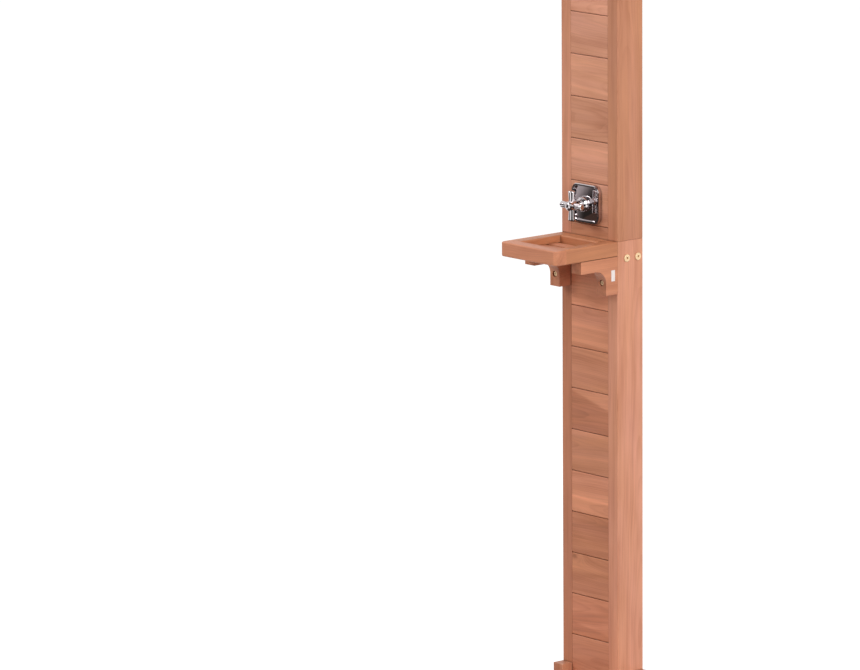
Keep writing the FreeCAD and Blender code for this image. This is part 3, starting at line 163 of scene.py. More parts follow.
# how far the fibres and the late wood stand out, in shares of the depth
FIBRE_RELIEF = 0.5
LATE_RELIEF = 0.8
RELIEF_DEPTH = 0.1 * MM
RELIEF_STRENGTH = 0.6
# how far from a groove or a corner the wood gets painted shade, darker than the faces round it, and how
# much darker
HOLLOW_REACH = 5 * MM
HOLLOW_PAINTED_SHADE = 0.5
# how open a place is where the painted shade is darkest, and where there is none
HOLLOW_OPENNESS = (0.4, 0.9)
HOLLOW_SAMPLES = 6

# ---- boards -------------------------------------------------------------------
# vertices nearer than this become one, and so do faces that meet at less than this angle
JOIN_DISTANCE = 0.002 * MM
FLAT = math.radians(0.4)
# solids are sorted by places rounded to this many decimals of a metre
SORT_DECIMALS = 4
# an edge is an arris when it is sharper and longer than this
SHARP = math.radians(40)
LONG_EDGE = 8 * MM
ARRIS_SEGMENTS = 2
ARRIS_PROFILE = 0.6
BOARD_ARRIS = 0.4 * MM
PLANK_ARRIS = 0.5 * MM
DECK_ARRIS = 1.0 * MM
FACE_WEIGHT = 100

# where a board was cut from its log, and how its grain leans in its face and rises out of it
LOG_LENGTH = 20
PITH_ASIDE = 0.05
PITH_DEPTH = (0.025, 0.07)
SHORT_BOARD = 0.2
SHORT_LEAN = 0.09
LONG_LEAN = 0.02
RISE = 0.03

# the looks that a board has where none are given
PLAIN_LOOKS = {"tone": 1.0, "warm": 0.5, "streak": 0.0, "divide": 0.0,
               "figure": (0, 0, 1), "knot": NO_KNOT}
# the ranges of tone and hue of a board that the photograph doesn't show
HIDDEN_TONE = (0.88, 1.04)
HIDDEN_WARM = (0.3, 0.75)

# ---- metal, rubber and plastic ------------------------------------------------
CHROME = (207, 200, 202)
STEEL = (196, 195, 192)
BRASS = (242, 210, 168)
COPPER = (205, 140, 110)
RUBBER = (34, 34, 35)
SILICONE = (120, 124, 128)
WHITE_FILM = (250, 238, 233)
# how far painted shade reaches out of a hollow in the brass
BRASS_HOLLOW_SHADE = 1.2 * MM
# how fine the patterns of the polish are per metre
RUB_SCALE = 90.0
RUB_DETAIL = 4.0
WAVE_SCALE = 32.0
GRIT_SCALE = 900.0
# the height of a full wave, and the grit's share of it
METAL_RELIEF = 1 * MM
GRIT = 0.01
# what a colour is multiplied by in a rubbed patch, and in a hollow under painted shade
RUBBED = 0.88
HOLLOW_SHADE_LEVEL = 0.12
# the pattern's values where a patch begins to be rubbed, and is all rubbed
RUBBED_FROM = (-0.2, 0.9)
# how open a place is where it is all painted shade, and where it has none
HOLLOW_SHADE_OPENNESS = (0.3, 0.9)
HOLLOW_SHADE_SAMPLES = 8
SPECKLE_SCALE = 500.0
SPECKLE_DETAIL = 3.0
# a patch of rubber or plastic is this many times as wide as a speckle
SPECKLE_PATCH = 12
SPECKLE_ROUGHNESS = 0.06
SPECKLE_STRENGTH = 0.6

# ---- lights -------------------------------------------------------------------
BLACK = (0.0, 0.0, 0.0)
SKY_STRENGTH = 0.42
WHITE = 1.0
FLOOR_HALF = 40.0
FLOOR_ROUGHNESS = 0.9
# the floor's own white and the part of its white that the light and the shadow make
FLOOR_GLOW = 0.8
FLOOR_SHADE = 0.5
# how much light the floor throws back on the object
FLOOR_BOUNCE = 0.4
# the middle of the part that the photograph shows
LIGHT_AIM = Vector((0, 0.1, 1.1))
# how far toward its upper left a card is still dark, and is all pale
CARD_SHADES = (-0.05, 0.65)
# a dark brown card over the tray, seen only in polished metal, that paints the tray's reflection as if in
# shade: how far over the tray it is, and its colour
PAINTED_TRAY_SHADE_LIFT = 6 * MM
PAINTED_TRAY_SHADE_COLOUR = (0.075, 0.045, 0.036)


def linear_channel(value):
    if value <= STRAIGHT_END:
        return value / STRAIGHT_SLOPE
    return ((value + CURVE_OFFSET) / (1 + CURVE_OFFSET)) ** CURVE_POWER


def linear(colour):
    """An sRGB colour of 0-255 values as linear red, green and blue."""
    return [linear_channel(channel / CHANNEL_MAX) for channel in colour]


def dimmed(colour, share):
    return [channel * share for channel in colour]


def tinted(colour, shares):
    """A colour with each of its channels multiplied by its own number."""
    return [channel * share for channel, share in zip(colour, shares)]


def box_centre(node):
    low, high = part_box(node)
    return (low + high) / 2


def direction(azimuth, elevation):
    """The way out from the object, in degrees: azimuth 0 is in front of it and 90 on its right."""
    a = math.radians(azimuth)
    e = math.radians(elevation)
    return Vector((math.sin(a) * math.cos(e), -math.cos(a) * math.cos(e), math.sin(e)))


# ---- material nodes -----------------------------------------------------------
class Tree:
    """A material's node tree, with short calls for the nodes that repeat."""

    # the sockets of a mix node that hold its share, its two colours and its result
    MIX_SHARE, MIX_A, MIX_B, MIX_RESULT = 0, 6, 7, 2

    def __init__(self, name):
        self.material = bpy.data.materials.new(name)
        self.material.use_nodes = True
        self.nodes = self.material.node_tree.nodes
        self.links = self.material.node_tree.links
        self.shader = self.nodes["Principled BSDF"]
        self.output = self.nodes["Material Output"]

    def set(self, **sockets):
        """Sets or links the shader's sockets; a name's underscores stand for spaces."""
        for name, value in sockets.items():
            self.feed(self.shader.inputs[name.replace("_", " ")], value)

    def feed(self, socket, value):
        if isinstance(value, bpy.types.NodeSocket):
            self.links.new(value, socket)
        elif isinstance(value, (list, tuple)) and len(value) == 3 and len(socket.default_value) == 4:
            socket.default_value = (*value, 1.0)
        else:
            socket.default_value = value

    def node(self, kind, *values, **settings):
        """A new node; values go to its sockets in order, and None leaves one as it is."""
        made = self.nodes.new("ShaderNode" + kind)
        for name, value in settings.items():
            setattr(made, name, value)
        for socket, value in zip(made.inputs, values):
            if value is not None:
                self.feed(socket, value)
        return made

    def value(self, name):
        return self.node("Attribute", attribute_name=name).outputs["Fac"]

    def vector(self, name):
        return self.node("Attribute", attribute_name=name).outputs["Vector"]

    def parts(self, vector):
        return self.node("SeparateXYZ", vector).outputs

    def math(self, operation, a, b=0.0, c=0.0):
        return self.node("Math", a, b, c, operation=operation).outputs[0]

    def square(self, value):
        return self.math("POWER", value, 2.0)

    def scaled(self, vector, scale):
        """A vector with each of its parts multiplied by its own number."""
        return self.node("VectorMath", vector, scale, operation="MULTIPLY").outputs[0]

    def noise(self, vector, scale=1.0, detail=2.0, roughness=0.5):
        """Smooth noise about 0, from -1 to 1."""
        made = self.node("TexNoise", vector, None, scale, detail, roughness, noise_dimensions="3D")
        return self.math("MULTIPLY_ADD", made.outputs["Fac"], 2.0, -1.0)

    def steps(self, value, low, high):
        """0 below low, 1 above high, and smooth between."""
        made = self.node("MapRange", interpolation_type="SMOOTHSTEP")
        for name, number in (("Value", value), ("From Min", low), ("From Max", high)):
            self.feed(made.inputs[name], number)
        return made.outputs[0]

    def bell(self, square, sharpness):
        """1 where a squared distance is 0, falling smoothly to 0 away from it."""
        return self.math("POWER", NATURAL_BASE, self.math("MULTIPLY", square, -sharpness))

    def openness(self, reach, samples):
        """1 where nothing is near a surface within reach, and less in a hollow."""
        return self.node("AmbientOcclusion", None, reach, samples=samples).outputs["AO"]

    def mix(self, share, a, b):
        made = self.node("Mix", data_type="RGBA")
        for index, value in ((self.MIX_SHARE, share), (self.MIX_A, a), (self.MIX_B, b)):
            self.feed(made.inputs[index], value)
        return made.outputs[self.MIX_RESULT]

    def bump(self, height, distance, strength=1.0):
        made = self.node("Bump")
        self.feed(made.inputs["Strength"], strength)
        self.feed(made.inputs["Distance"], distance)
        self.feed(made.inputs["Height"], height)
        self.set(Normal=made.outputs[0])


# ---- wood material ------------------------------------------------------------
def wood(name, colour, from_board=True):
    """Cedar: growth rings about a pith beside the board, fibres, patches of tone, pale arrises that are
    partly wear and partly a painted highlight, and painted shade in grooves and corners.

    The boards hold where they are in the tree in "grain": along it, and two ways across."""
    tree = Tree(name)
    if from_board:
        grain = tree.vector("grain")
    else:
        grain = tree.scaled(tree.node("TexCoord").outputs["Object"], SAWN_STRETCH)
    along, radius = place_in_tree(tree, grain)
    if from_board:
        knot_near, knot_heart = knot_of(tree)
        radius = tree.math("ADD", radius, tree.math("MULTIPLY", knot_near, KNOT_PUSH))
    late, decade = rings(tree, along, radius)
    fibre = tree.noise(tree.scaled(grain, FIBRE_SCALE), detail=2.0, roughness=FINE)
    streak = tree.noise(tree.scaled(grain, STREAK_SCALE), detail=3.0, roughness=FINE)
    patch = tree.noise(tree.scaled(grain, PATCH_SCALE), detail=2.0)

    shade = tree.math("MULTIPLY", late, LATE_SHADE)
    for part, amount in ((decade, DECADE_SHADE), (fibre, FIBRE_SHADE), (streak, STREAK_SHADE),
                         (patch, PATCH_SHADE)):
        shade = tree.math("ADD", shade, tree.math("MULTIPLY", part, amount))
    tone = PLAIN_LOOKS["tone"]
    warm = PLAIN_LOOKS["warm"]
    if from_board:
        tone = tree.value("tone")
        warm = tree.value("warm")
        shade = board_shade(tree, shade, knot_heart)
    light = tree.math("MULTIPLY", tree.math("ADD", shade, MEAN_LIGHT), tone)
    # painted shade in grooves and corners, darkening the colour
    light = tree.math("MULTIPLY", light, painted_hollow_shade(tree))
    shown = tree.node("VectorMath", tint_of(tree, colour, grain, warm, shade), operation="SCALE")
    tree.feed(shown.inputs["Scale"], light)
    tree.set(Base_Color=shown.outputs[0])
    wood_surface(tree, fibre, late)
    return tree.material


def wood_surface(tree, fibre, late):
    """A dull sheen and a fine relief, where the fibres and the late wood stand out."""
    rough = tree.math("MULTIPLY_ADD", fibre, FIBRE_ROUGHNESS, WOOD_ROUGHNESS)
    rough = tree.math("MULTIPLY_ADD", late, LATE_ROUGHNESS, rough)
    tree.set(Roughness=rough, Specular_IOR_Level=WOOD_SPECULAR)
    relief = tree.math("ADD", tree.math("MULTIPLY", fibre, FIBRE_RELIEF),
                       tree.math("MULTIPLY", late, LATE_RELIEF))
    tree.bump(relief, RELIEF_DEPTH, RELIEF_STRENGTH)


def place_in_tree(tree, grain):
    """How far along the log a place is, and how far from its pith, with the rings' sway and ripple."""
    split = tree.parts(grain)
    radius = tree.math("SQRT", tree.math("ADD", tree.square(split[1]), tree.square(split[2])))
    sway = tree.noise(tree.scaled(grain, SWAY_SCALE), detail=1.5)
    ripple = tree.noise(tree.scaled(grain, RIPPLE_SCALE), detail=2.0)
    radius = tree.math("ADD", radius, tree.math("MULTIPLY", sway, SWAY))
    radius = tree.math("ADD", radius, tree.math("MULTIPLY", ripple, RIPPLE))
    return split[0], radius


def rings(tree, along, radius):
    """The dark late wood of each year, and the slow change of tone over ten years or so."""
    age = tree.math("DIVIDE", radius, RING_SPACING)
    slow = tree.node("CombineXYZ", tree.math("MULTIPLY", age, DRIFT_SCALE)).outputs[0]
    age = tree.math("MULTIPLY_ADD", tree.noise(slow, detail=1.0), DRIFT, age)
    season = tree.math("FRACT", age)
    ended = tree.steps(season, *LATE_FALL)
    late = tree.math("MULTIPLY", tree.steps(season, *LATE_RISE), tree.math("SUBTRACT", 1.0, ended))
    years = tree.node("CombineXYZ", tree.math("MULTIPLY", age, YEAR_SCALE),
                      tree.math("MULTIPLY", along, YEAR_LENGTH_SCALE)).outputs[0]
    strength = tree.math("MULTIPLY_ADD", tree.noise(years, detail=1.0), YEAR_SWING, YEAR_MEAN)
    late = tree.math("MULTIPLY", late, strength)
    bands = tree.node("CombineXYZ", tree.math("MULTIPLY", age, DECADE_SCALE), None,
                      tree.math("MULTIPLY", along, DECADE_LENGTH_SCALE)).outputs[0]
    return late, tree.noise(bands, detail=2.0)


def board_shade(tree, shade, knot_heart):
    """A shade with the board's figure, its pale arrises (partly wear, partly a painted highlight), its end
    grain and the heart of its knot.
    """
    shade = tree.math("ADD", shade, figure_of(tree))
    # pale arrises: partly wear, partly a painted highlight
    shade = tree.math("MULTIPLY_ADD", tree.value("arris"), ARRIS_WEAR_AND_HIGHLIGHT, shade)
    shade = tree.math("MULTIPLY_ADD", end_grain_of(tree), END_GRAIN_SHADE, shade)
    return tree.math("MULTIPLY_ADD", knot_heart, KNOT_SHADE, shade)


def painted_hollow_shade(tree):
    """Painted shade: what the wood's colour in a groove or a corner is multiplied by, and 1 in the open.
    """
    open_sky = tree.steps(tree.openness(HOLLOW_REACH, HOLLOW_SAMPLES), *HOLLOW_OPENNESS)
    dusk = tree.math("SUBTRACT", 1.0, open_sky)
    return tree.math("MULTIPLY_ADD", dusk, -HOLLOW_PAINTED_SHADE, 1.0)


def tint_of(tree, colour, grain, warm, shade):
    """The wood's hue, between pink and amber, and deeper where it is dark."""
    base = linear(colour)
    hue = tree.noise(tree.scaled(grain, HUE_SCALE), detail=2.0)
    share = tree.math("MULTIPLY_ADD", hue, HUE_SWING, warm)
    tint = tree.mix(share, tinted(base, PINK), tinted(base, AMBER))
    return tree.mix(tree.steps(shade, *DEEP_SHADES), tint, tree.scaled(tint, DEEP))


def end_grain_of(tree):
    """1 where a surface is cut across the grain, and 0 along it."""
    normal = tree.node("NewGeometry").outputs["Normal"]
    facing = tree.node("VectorMath", normal, tree.vector("axis"), operation="DOT_PRODUCT")
    return tree.steps(tree.math("ABSOLUTE", facing.outputs["Value"]), *END_GRAIN)


def knot_of(tree):
    """How near a place is to the board's knot, for the rings that bend round it and for its dark heart."""
    place = tree.parts(tree.vector("face"))
    knot = tree.parts(tree.vector("knot"))
    along = tree.math("MULTIPLY", tree.math("SUBTRACT", place[0], knot[0]), KNOT_STRETCH)
    across = tree.math("SUBTRACT", place[1], knot[1])
    square = tree.math("ADD", tree.square(along), tree.square(across))
    square = tree.math("DIVIDE", square, tree.square(knot[2]))
    return tree.bell(square, KNOT_BEND), tree.bell(square, KNOT_HEART)


def figure_of(tree):
    """A board's own pale or dark streak, or its change from heartwood to sapwood, as a shade."""
    place = tree.parts(tree.vector("face"))
    height, slope, half_width = tree.parts(tree.vector("figure"))
    waver = tree.noise(tree.scaled(tree.vector("grain"), WAVER_SCALE), detail=3.0)
    away = tree.math("SUBTRACT", place[1], height)
    away = tree.math("SUBTRACT", away, tree.math("MULTIPLY", place[0], slope))
    away = tree.math("ADD", away, tree.math("MULTIPLY", waver, FIGURE_WAVER))
    away = tree.math("DIVIDE", away, half_width)
    streak = tree.math("MULTIPLY", tree.bell(tree.square(away), 1.0), tree.value("streak"))
    divide = tree.math("MULTIPLY", tree.steps(away, 1.0, -1.0), tree.value("divide"))
    return tree.math("ADD", streak, divide)


# ---- metal, rubber and plastic ------------------------------------------------
def metal(name, colour, roughness, wear, wave=0.0, hollow_shade=0.0, bare=1.0):
    """A metal with faint rubbed patches in its polish, a slow wave, and painted shade in hollows of a
    given size.

    bare is how much of the surface is clean metal and not a dull skin."""
    tree = Tree(name)
    place = tree.node("TexCoord").outputs["Object"]
    patch = tree.noise(place, RUB_SCALE, RUB_DETAIL, FINE)
    base = linear(colour)
    tint = tree.mix(tree.steps(patch, *RUBBED_FROM), base, dimmed(base, RUBBED))
    # painted shade in hollows, darkening the colour
    if hollow_shade:
        unshaded = tree.steps(tree.openness(hollow_shade, HOLLOW_SHADE_SAMPLES), *HOLLOW_SHADE_OPENNESS)
        tint = tree.mix(unshaded, dimmed(base, HOLLOW_SHADE_LEVEL), tint)
    rough = tree.math("MULTIPLY_ADD", tree.math("ABSOLUTE", patch), wear, roughness)
    tree.set(Metallic=bare, Base_Color=tint, Roughness=rough)
    slow = tree.math("MULTIPLY", tree.noise(place, WAVE_SCALE, detail=1.0), wave)
    grit = tree.math("MULTIPLY", tree.noise(place, GRIT_SCALE, detail=2.0, roughness=FINE), GRIT)
    tree.bump(tree.math("ADD", slow, grit), METAL_RELIEF)
    return tree.material


def plain(name, colour, roughness, relief):
    """Rubber or plastic film: a soft speckle in the colour and a fine uneven surface."""
    tree = Tree(name)
    place = tree.node("TexCoord").outputs["Object"]
    patch = tree.noise(place, SPECKLE_SCALE / SPECKLE_PATCH, SPECKLE_DETAIL)
    speckle = tree.noise(place, SPECKLE_SCALE, SPECKLE_DETAIL, FINE)
    base = linear(colour)
    tint = tree.mix(tree.steps(patch, -1.0, 1.0), base, dimmed(base, RUBBED))
    tree.set(Base_Color=tint, Roughness=tree.math("MULTIPLY_ADD", patch, SPECKLE_ROUGHNESS, roughness))
    tree.bump(speckle, relief, SPECKLE_STRENGTH)
    return tree.material


# ---- boards -------------------------------------------------------------------
def vertex_groups(whole):
    """The vertices of a mesh, sorted into its separate solids."""
    left = set(whole.verts)
    groups = []
    while left:
        group = set()
        reach = [left.pop()]
        while reach:
            vert = reach.pop()
            group.add(vert)
            for edge in vert.link_edges:
                other = edge.other_vert(vert)
                if other in left:
                    left.discard(other)
                    reach.append(other)
        groups.append(group)
    return groups


def copy_of(group):
    """One solid as a mesh of its own."""
    index = {}
    solid = bmesh.new()
    for vert in sorted(group, key=lambda v: v.index):
        index[vert] = solid.verts.new(vert.co)
    faces = {face for vert in group for face in vert.link_faces}
    for face in sorted(faces, key=lambda f: f.index):
        solid.faces.new([index[vert] for vert in face.verts])
    solid.normal_update()
    return solid


def corners_of(solid):
    """The low and the high corner of a solid's box."""
    low = Vector(min(vert.co[i] for vert in solid.verts) for i in range(3))
    high = Vector(max(vert.co[i] for vert in solid.verts) for i in range(3))
    return low, high


def reading_order(solid):
    """What solids are sorted by: lowest first, then left to right, then front to back."""
    low = corners_of(solid)[0]
    return [round(value, SORT_DECIMALS) for value in (low.z, low.x, low.y)]


def solids_of(node):
    """The separate solids of a node as meshes, lowest first, then left to right, then front to back."""
    whole = bmesh.new()
    whole.from_mesh(frame["nodes"][node].data)
    bmesh.ops.remove_doubles(whole, verts=whole.verts, dist=JOIN_DISTANCE)
    solids = [copy_of(group) for group in vertex_groups(whole)]
    whole.free()
    return sorted(solids, key=reading_order)


def soften(solid, width):
    """Rounds the long arrises of a solid, and returns the new narrow faces."""
    bmesh.ops.dissolve_limit(solid, angle_limit=FLAT, verts=solid.verts, edges=solid.edges)
    arrises = [edge for edge in solid.edges
               if edge.is_manifold and edge.calc_face_angle() > SHARP and edge.calc_length() > LONG_EDGE]
    made = bmesh.ops.bevel(solid, geom=arrises, offset=width, segments=ARRIS_SEGMENTS,
                           profile=ARRIS_PROFILE, affect="EDGES", clamp_overlap=True)
    for edge in solid.edges:
        edge.smooth = not edge.is_manifold or edge.calc_face_angle() < SHARP
    return set(made["faces"])


# for the grain along each axis: which coordinates run along a board, across its face and into it
AXES = {"X": (0, 2, 1), "Y": (1, 0, 2), "Z": (2, 1, 0)}


def place_in_log(name, length):
    """Where a board's middle is from the pith of its log, and how its grain leans and rises."""
    draw = random.Random(name)
    behind = draw.choice((-1, 1))
    pith = Vector((draw.uniform(0, LOG_LENGTH), draw.uniform(-PITH_ASIDE, PITH_ASIDE),
                   behind * draw.uniform(*PITH_DEPTH)))
    most = SHORT_LEAN if length < SHORT_BOARD else LONG_LEAN
    lean = draw.uniform(-most, most)
    rise = draw.uniform(-RISE, RISE)
    return pith, lean, rise


def mark_board(mesh, middle, along, log, looks):
    """Writes on a board's vertices where they are in the tree and in its face, and its own looks."""
    long, across, deep = AXES[along]
    pith, lean, rise = log
    places = []
    faces = []
    for vert in mesh.vertices:
        u, v, w = (vert.co[i] - middle[i] for i in (long, across, deep))
        places += [u + pith[0], v + u * lean + pith[1], w + u * rise + pith[2]]
        faces += [u, v, w]
    count = len(mesh.vertices)
    axis = [float(i == long) for i in range(3)]
    shown = {**PLAIN_LOOKS, **looks}
    vectors = {"grain": places, "face": faces, "axis": axis * count,
               "figure": list(shown["figure"]) * count, "knot": list(shown["knot"]) * count}
    for label, values in vectors.items():
        mesh.attributes.new(label, "FLOAT_VECTOR", "POINT").data.foreach_set("vector", values)
    for label in ("tone", "warm", "streak", "divide"):
        mesh.attributes.new(label, "FLOAT", "POINT").data.foreach_set("value", [shown[label]] * count)


def board_piece(name, solid, along, looks, material, arris):
    """One board as a piece: softened, and marked with its place in the tree and its own tone."""
    # the rounded arris faces, which the material lightens as wear and as a painted highlight
    worn_and_highlit = soften(solid, arris)
    solid.normal_update()
    low, high = corners_of(solid)
    long = AXES[along][0]
    log = place_in_log(name, high[long] - low[long])
    for face in solid.faces:
        face.smooth = True
    narrow = [float(face in worn_and_highlit) for face in solid.faces]
    mesh = bpy.data.meshes.new(name)
    solid.to_mesh(mesh)
    solid.free()
    mark_board(mesh, (low + high) / 2, along, log, looks)
    mesh.attributes.new("arris", "FLOAT", "FACE").data.foreach_set("value", narrow)
    mesh.materials.append(material)
    piece = bpy.data.objects.new(name, mesh)
    bpy.context.scene.collection.objects.link(piece)
    normals = piece.modifiers.new("normals", "WEIGHTED_NORMAL")
    normals.weight = FACE_WEIGHT
    normals.keep_sharp = True
    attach(piece, "post")
    return piece


def hidden_looks(name):
    """The tone and hue of a board that the photograph doesn't show."""
    draw = random.Random(name + " looks")
    return {"tone": draw.uniform(*HIDDEN_TONE), "warm": draw.uniform(*HIDDEN_WARM)}


def boards(node, along, material, looks=(), arris=PLANK_ARRIS):
    """Replaces a node by its boards; looks are given from the lowest board up."""
    for i, solid in enumerate(solids_of(node)):
        name = f"{node}_{i + 1:02d}"
        look = looks[i] if i < len(looks) else hidden_looks(name)
        piece = board_piece(name, solid, along, look, material, arris)
        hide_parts(node)


# The boards that the photograph shows, from the section joint up and from the foot up. A figure is
# (height from the middle, slope, half width) of a streak or of a change of tone; a knot is
# (place along the board, height from the middle, size).
UPPER_LOOKS = [
    {"tone": 0.84, "warm": 1.0},
    {"tone": 0.93, "warm": 0.6},
    {"tone": 1.03, "streak": 0.07, "figure": (23 * MM, 0.0, 3 * MM)},
    {"tone": 0.95, "warm": 0.7, "streak": -0.08, "figure": (-8 * MM, -0.03, 6 * MM)},
    {"tone": 1.05, "streak": 0.14, "figure": (-28 * MM, -0.086, 3.5 * MM)},
    {"tone": 0.98, "warm": 0.4},
    {"tone": 1.12, "warm": 0.4},
]
LOWER_LOOKS = [
    {"tone": 0.93},
    {"tone": 0.93},
    {"tone": 1.11, "divide": -0.18, "figure": (-26 * MM, -0.13, 4 * MM)},
    {"tone": 0.95, "warm": 0.8, "streak": -0.12, "figure": (0 * MM, 0.12, 5 * MM),
     "knot": (-50 * MM, 36 * MM, 7 * MM)},
    {"tone": 0.97, "warm": 0.8, "divide": -0.12, "figure": (28 * MM, -0.03, 4 * MM)},
    {"tone": 1.08, "streak": 0.22, "figure": (-14.5 * MM, -0.01, 4 * MM)},
    {"tone": 0.90, "warm": 0.6},
    {"tone": 1.03, "divide": -0.24, "figure": (22 * MM, -0.267, 4 * MM)},
    {"tone": 0.95, "warm": 0.6},
    {"tone": 1.06, "streak": 0.12, "figure": (-32 * MM, -0.03, 8 * MM)},
    # this board, just under the tray, is painted lighter to offset the tray's shadow on it
    {"tone": 1.30, "warm": 0.4},
    {"tone": 0.94},
]
UPPER_LEFT = [{"tone": 1.10, "warm": 0.4}]
UPPER_RIGHT = [{"tone": 0.98, "warm": 0.75}]
LOWER_LEFT = [{"tone": 0.82}]
LOWER_RIGHT = [{"tone": 1.05}]
FRONT_RAIL = [{"tone": 0.98, "warm": 0.4}]
SIDE_RAIL = [{"tone": 0.84, "warm": 1.2}]
BRACKET = [{"tone": 0.97, "warm": 0.3}]
TRAY_SLATS = [{"tone": 0.88, "warm": 0.6}] * 3
FRONT_CLEATS = [{"tone": 0.77, "warm": 0.8}] * 2
SIDE_CLEATS = [{"tone": 0.76, "warm": 0.8}] * 2


def column(upper, lower):
    """The side planks and the boards of both sections, and the cap."""
    lower_left = wood("lower_left_wood", LOWER_LEFT_PLANK)
    front = wood("front_board_wood", FRONT_BOARD)
    low_front = wood("lower_board_wood", LOWER_BOARD)
    back = wood("back_board_wood", BACK_BOARD)
    boards("upper_side_left", "Z", upper, UPPER_LEFT)
    boards("upper_side_right", "Z", upper, UPPER_RIGHT)
    boards("lower_side_left", "Z", lower_left, LOWER_LEFT)
    boards("lower_side_right", "Z", lower, LOWER_RIGHT)
    boards("upper_front_boards", "X", front, UPPER_LOOKS, BOARD_ARRIS)
    boards("lower_front_boards", "X", low_front, LOWER_LOOKS, BOARD_ARRIS)
    boards("upper_back_boards", "X", back, arris=BOARD_ARRIS)
    boards("lower_back_boards", "X", back, arris=BOARD_ARRIS)
    boards("top_cap", "X", upper)


def tray():
    """The soap tray's rails and slats, and the brackets under it."""
    material = wood("tray_wood", TRAY_WOOD)
    for name, along, looks in (("front_rail", "X", FRONT_RAIL), ("left_rail", "Y", SIDE_RAIL),
                               ("right_rail", "Y", SIDE_RAIL), ("back_rail", "X", SIDE_RAIL),
                               ("slats", "X", TRAY_SLATS), ("bracket_left", "Y", BRACKET),
                               ("bracket_right", "Y", BRACKET)):
        boards("tray_" + name, along, material, looks, BOARD_ARRIS)


def foot(lower):
    """The cleats that hold the column's foot, and the platform."""
    deck = wood("platform_wood", PLATFORM_WOOD)
    boards("front_foot_cleats", "Z", lower, FRONT_CLEATS)
    boards("side_foot_cleats", "Z", lower, SIDE_CLEATS)
    boards("platform_slats", "X", deck, arris=DECK_ARRIS)
    boards("platform_joists", "Y", deck, arris=DECK_ARRIS)


def timber():
    upper = wood("upper_plank_wood", UPPER_PLANK)
    lower = wood("lower_plank_wood", LOWER_PLANK)
    column(upper, lower)
    tray()
    foot(lower)


def finishes():
    """Gives every carried-over node its material."""
    by_slot = {
        "chrome": metal("chrome_plate", CHROME, roughness=0.05, wear=0.04, wave=0.2),
        "steel": metal("stainless", STEEL, roughness=0.26, wear=0.08),
        "brass": metal("brass", BRASS, roughness=0.58, wear=0.1, hollow_shade=BRASS_HOLLOW_SHADE, bare=0.6),
        "copper_pipe": metal("drawn_copper", COPPER, roughness=0.3, wear=0.12),
        "rubber": plain("rubber", RUBBER, roughness=0.7, relief=0.05 * MM),
        "silicone": plain("silicone", SILICONE, roughness=0.5, relief=0.03 * MM),
        "blank_white": plain("white_film", WHITE_FILM, roughness=0.45, relief=0.02 * MM),
        "hidden_wood": wood("sawn_wood", SAWN_WOOD, from_board=False),
    }
    for part in frame["record"]["subparts"]:
        node = frame["nodes"][part["node"]]
        if part["material_slot"] in by_slot and not node.hide_render:
            node.data.materials.clear()
            node.data.materials.append(by_slot[part["material_slot"]])


# ---- stage --------------------------------------------------------------------
def to_camera_or_mirror(tree):
    """1 for what the camera sees directly, in a mirror or through glass, and 0 for light on surfaces."""
    path = tree.nodes.new("ShaderNodeLightPath")
    total = path.outputs["Is Camera Ray"]
    for name in ("Is Glossy Ray", "Is Transmission Ray"):
        joined = tree.nodes.new("ShaderNodeMath")
        joined.operation = "MAXIMUM"
        tree.links.new(total, joined.inputs[0])
        tree.links.new(path.outputs[name], joined.inputs[1])
        total = joined.outputs[0]
    return total


def sheet(name, corners, material):
    """A flat thing with four corners."""
    mesh = bpy.data.meshes.new(name)
    mesh.from_pydata(corners, [], [(0, 1, 2, 3)])
    mesh.materials.append(material)
    made = bpy.data.objects.new(name, mesh)
    bpy.context.scene.collection.objects.link(made)
    return made


def rectangle(x, y):
    """The corners of a flat rectangle about the origin, from its half sizes."""
    return [(-x, -y, 0), (x, -y, 0), (x, y, 0), (-x, y, 0)]


def stand(made, out, distance):
    """Puts a lamp or a card out from the object, square to the way back to it."""
    made.location = LIGHT_AIM + out * distance
    made.rotation_mode = "QUATERNION"
    made.rotation_quaternion = out.to_track_quat("Z", "Y")


def floor():
    """A white floor that shows the object's soft shadow."""
    tree = Tree("floor_white")
    tree.set(Base_Color=[FLOOR_BOUNCE] * 3, Roughness=FLOOR_ROUGHNESS, Specular_IOR_Level=0.0)
    glow = tree.node("Emission", [FLOOR_GLOW] * 3, WHITE)
    pale = tree.node("BsdfDiffuse", [FLOOR_SHADE] * 3)
    seen = tree.node("AddShader", glow.outputs[0], pale.outputs[0])
    pick = tree.node("MixShader", to_camera_or_mirror(tree.material.node_tree),
                     tree.shader.outputs[0], seen.outputs[0])
    tree.links.new(pick.outputs[0], tree.output.inputs["Surface"])
    plane = sheet("floor", rectangle(FLOOR_HALF, FLOOR_HALF), tree.material)


def sky():
    """Plain white round the object, at a lower strength for the light that it gives."""
    world = bpy.data.worlds.new("studio")
    bpy.context.scene.world = world
    world.use_nodes = True
    tree = world.node_tree
    back = tree.nodes["Background"]
    back.inputs["Color"].default_value = (WHITE, WHITE, WHITE, 1.0)
    level = tree.nodes.new("ShaderNodeMath")
    level.operation = "MULTIPLY_ADD"
    tree.links.new(to_camera_or_mirror(tree), level.inputs[0])
    level.inputs[1].default_value = WHITE - SKY_STRENGTH
    level.inputs[2].default_value = SKY_STRENGTH
    tree.links.new(level.outputs[0], back.inputs["Strength"])


def lamp(name, azimuth, elevation, distance, size, watts):
    """A square soft lamp."""
    light = bpy.data.lights.new(name, "AREA")
    light.shape = "SQUARE"
    light.size = size
    light.energy = watts
    made = bpy.data.objects.new(name, light)
    stand(made, direction(azimuth, elevation), distance)
    made.visible_camera = False
    bpy.context.scene.collection.objects.link(made)


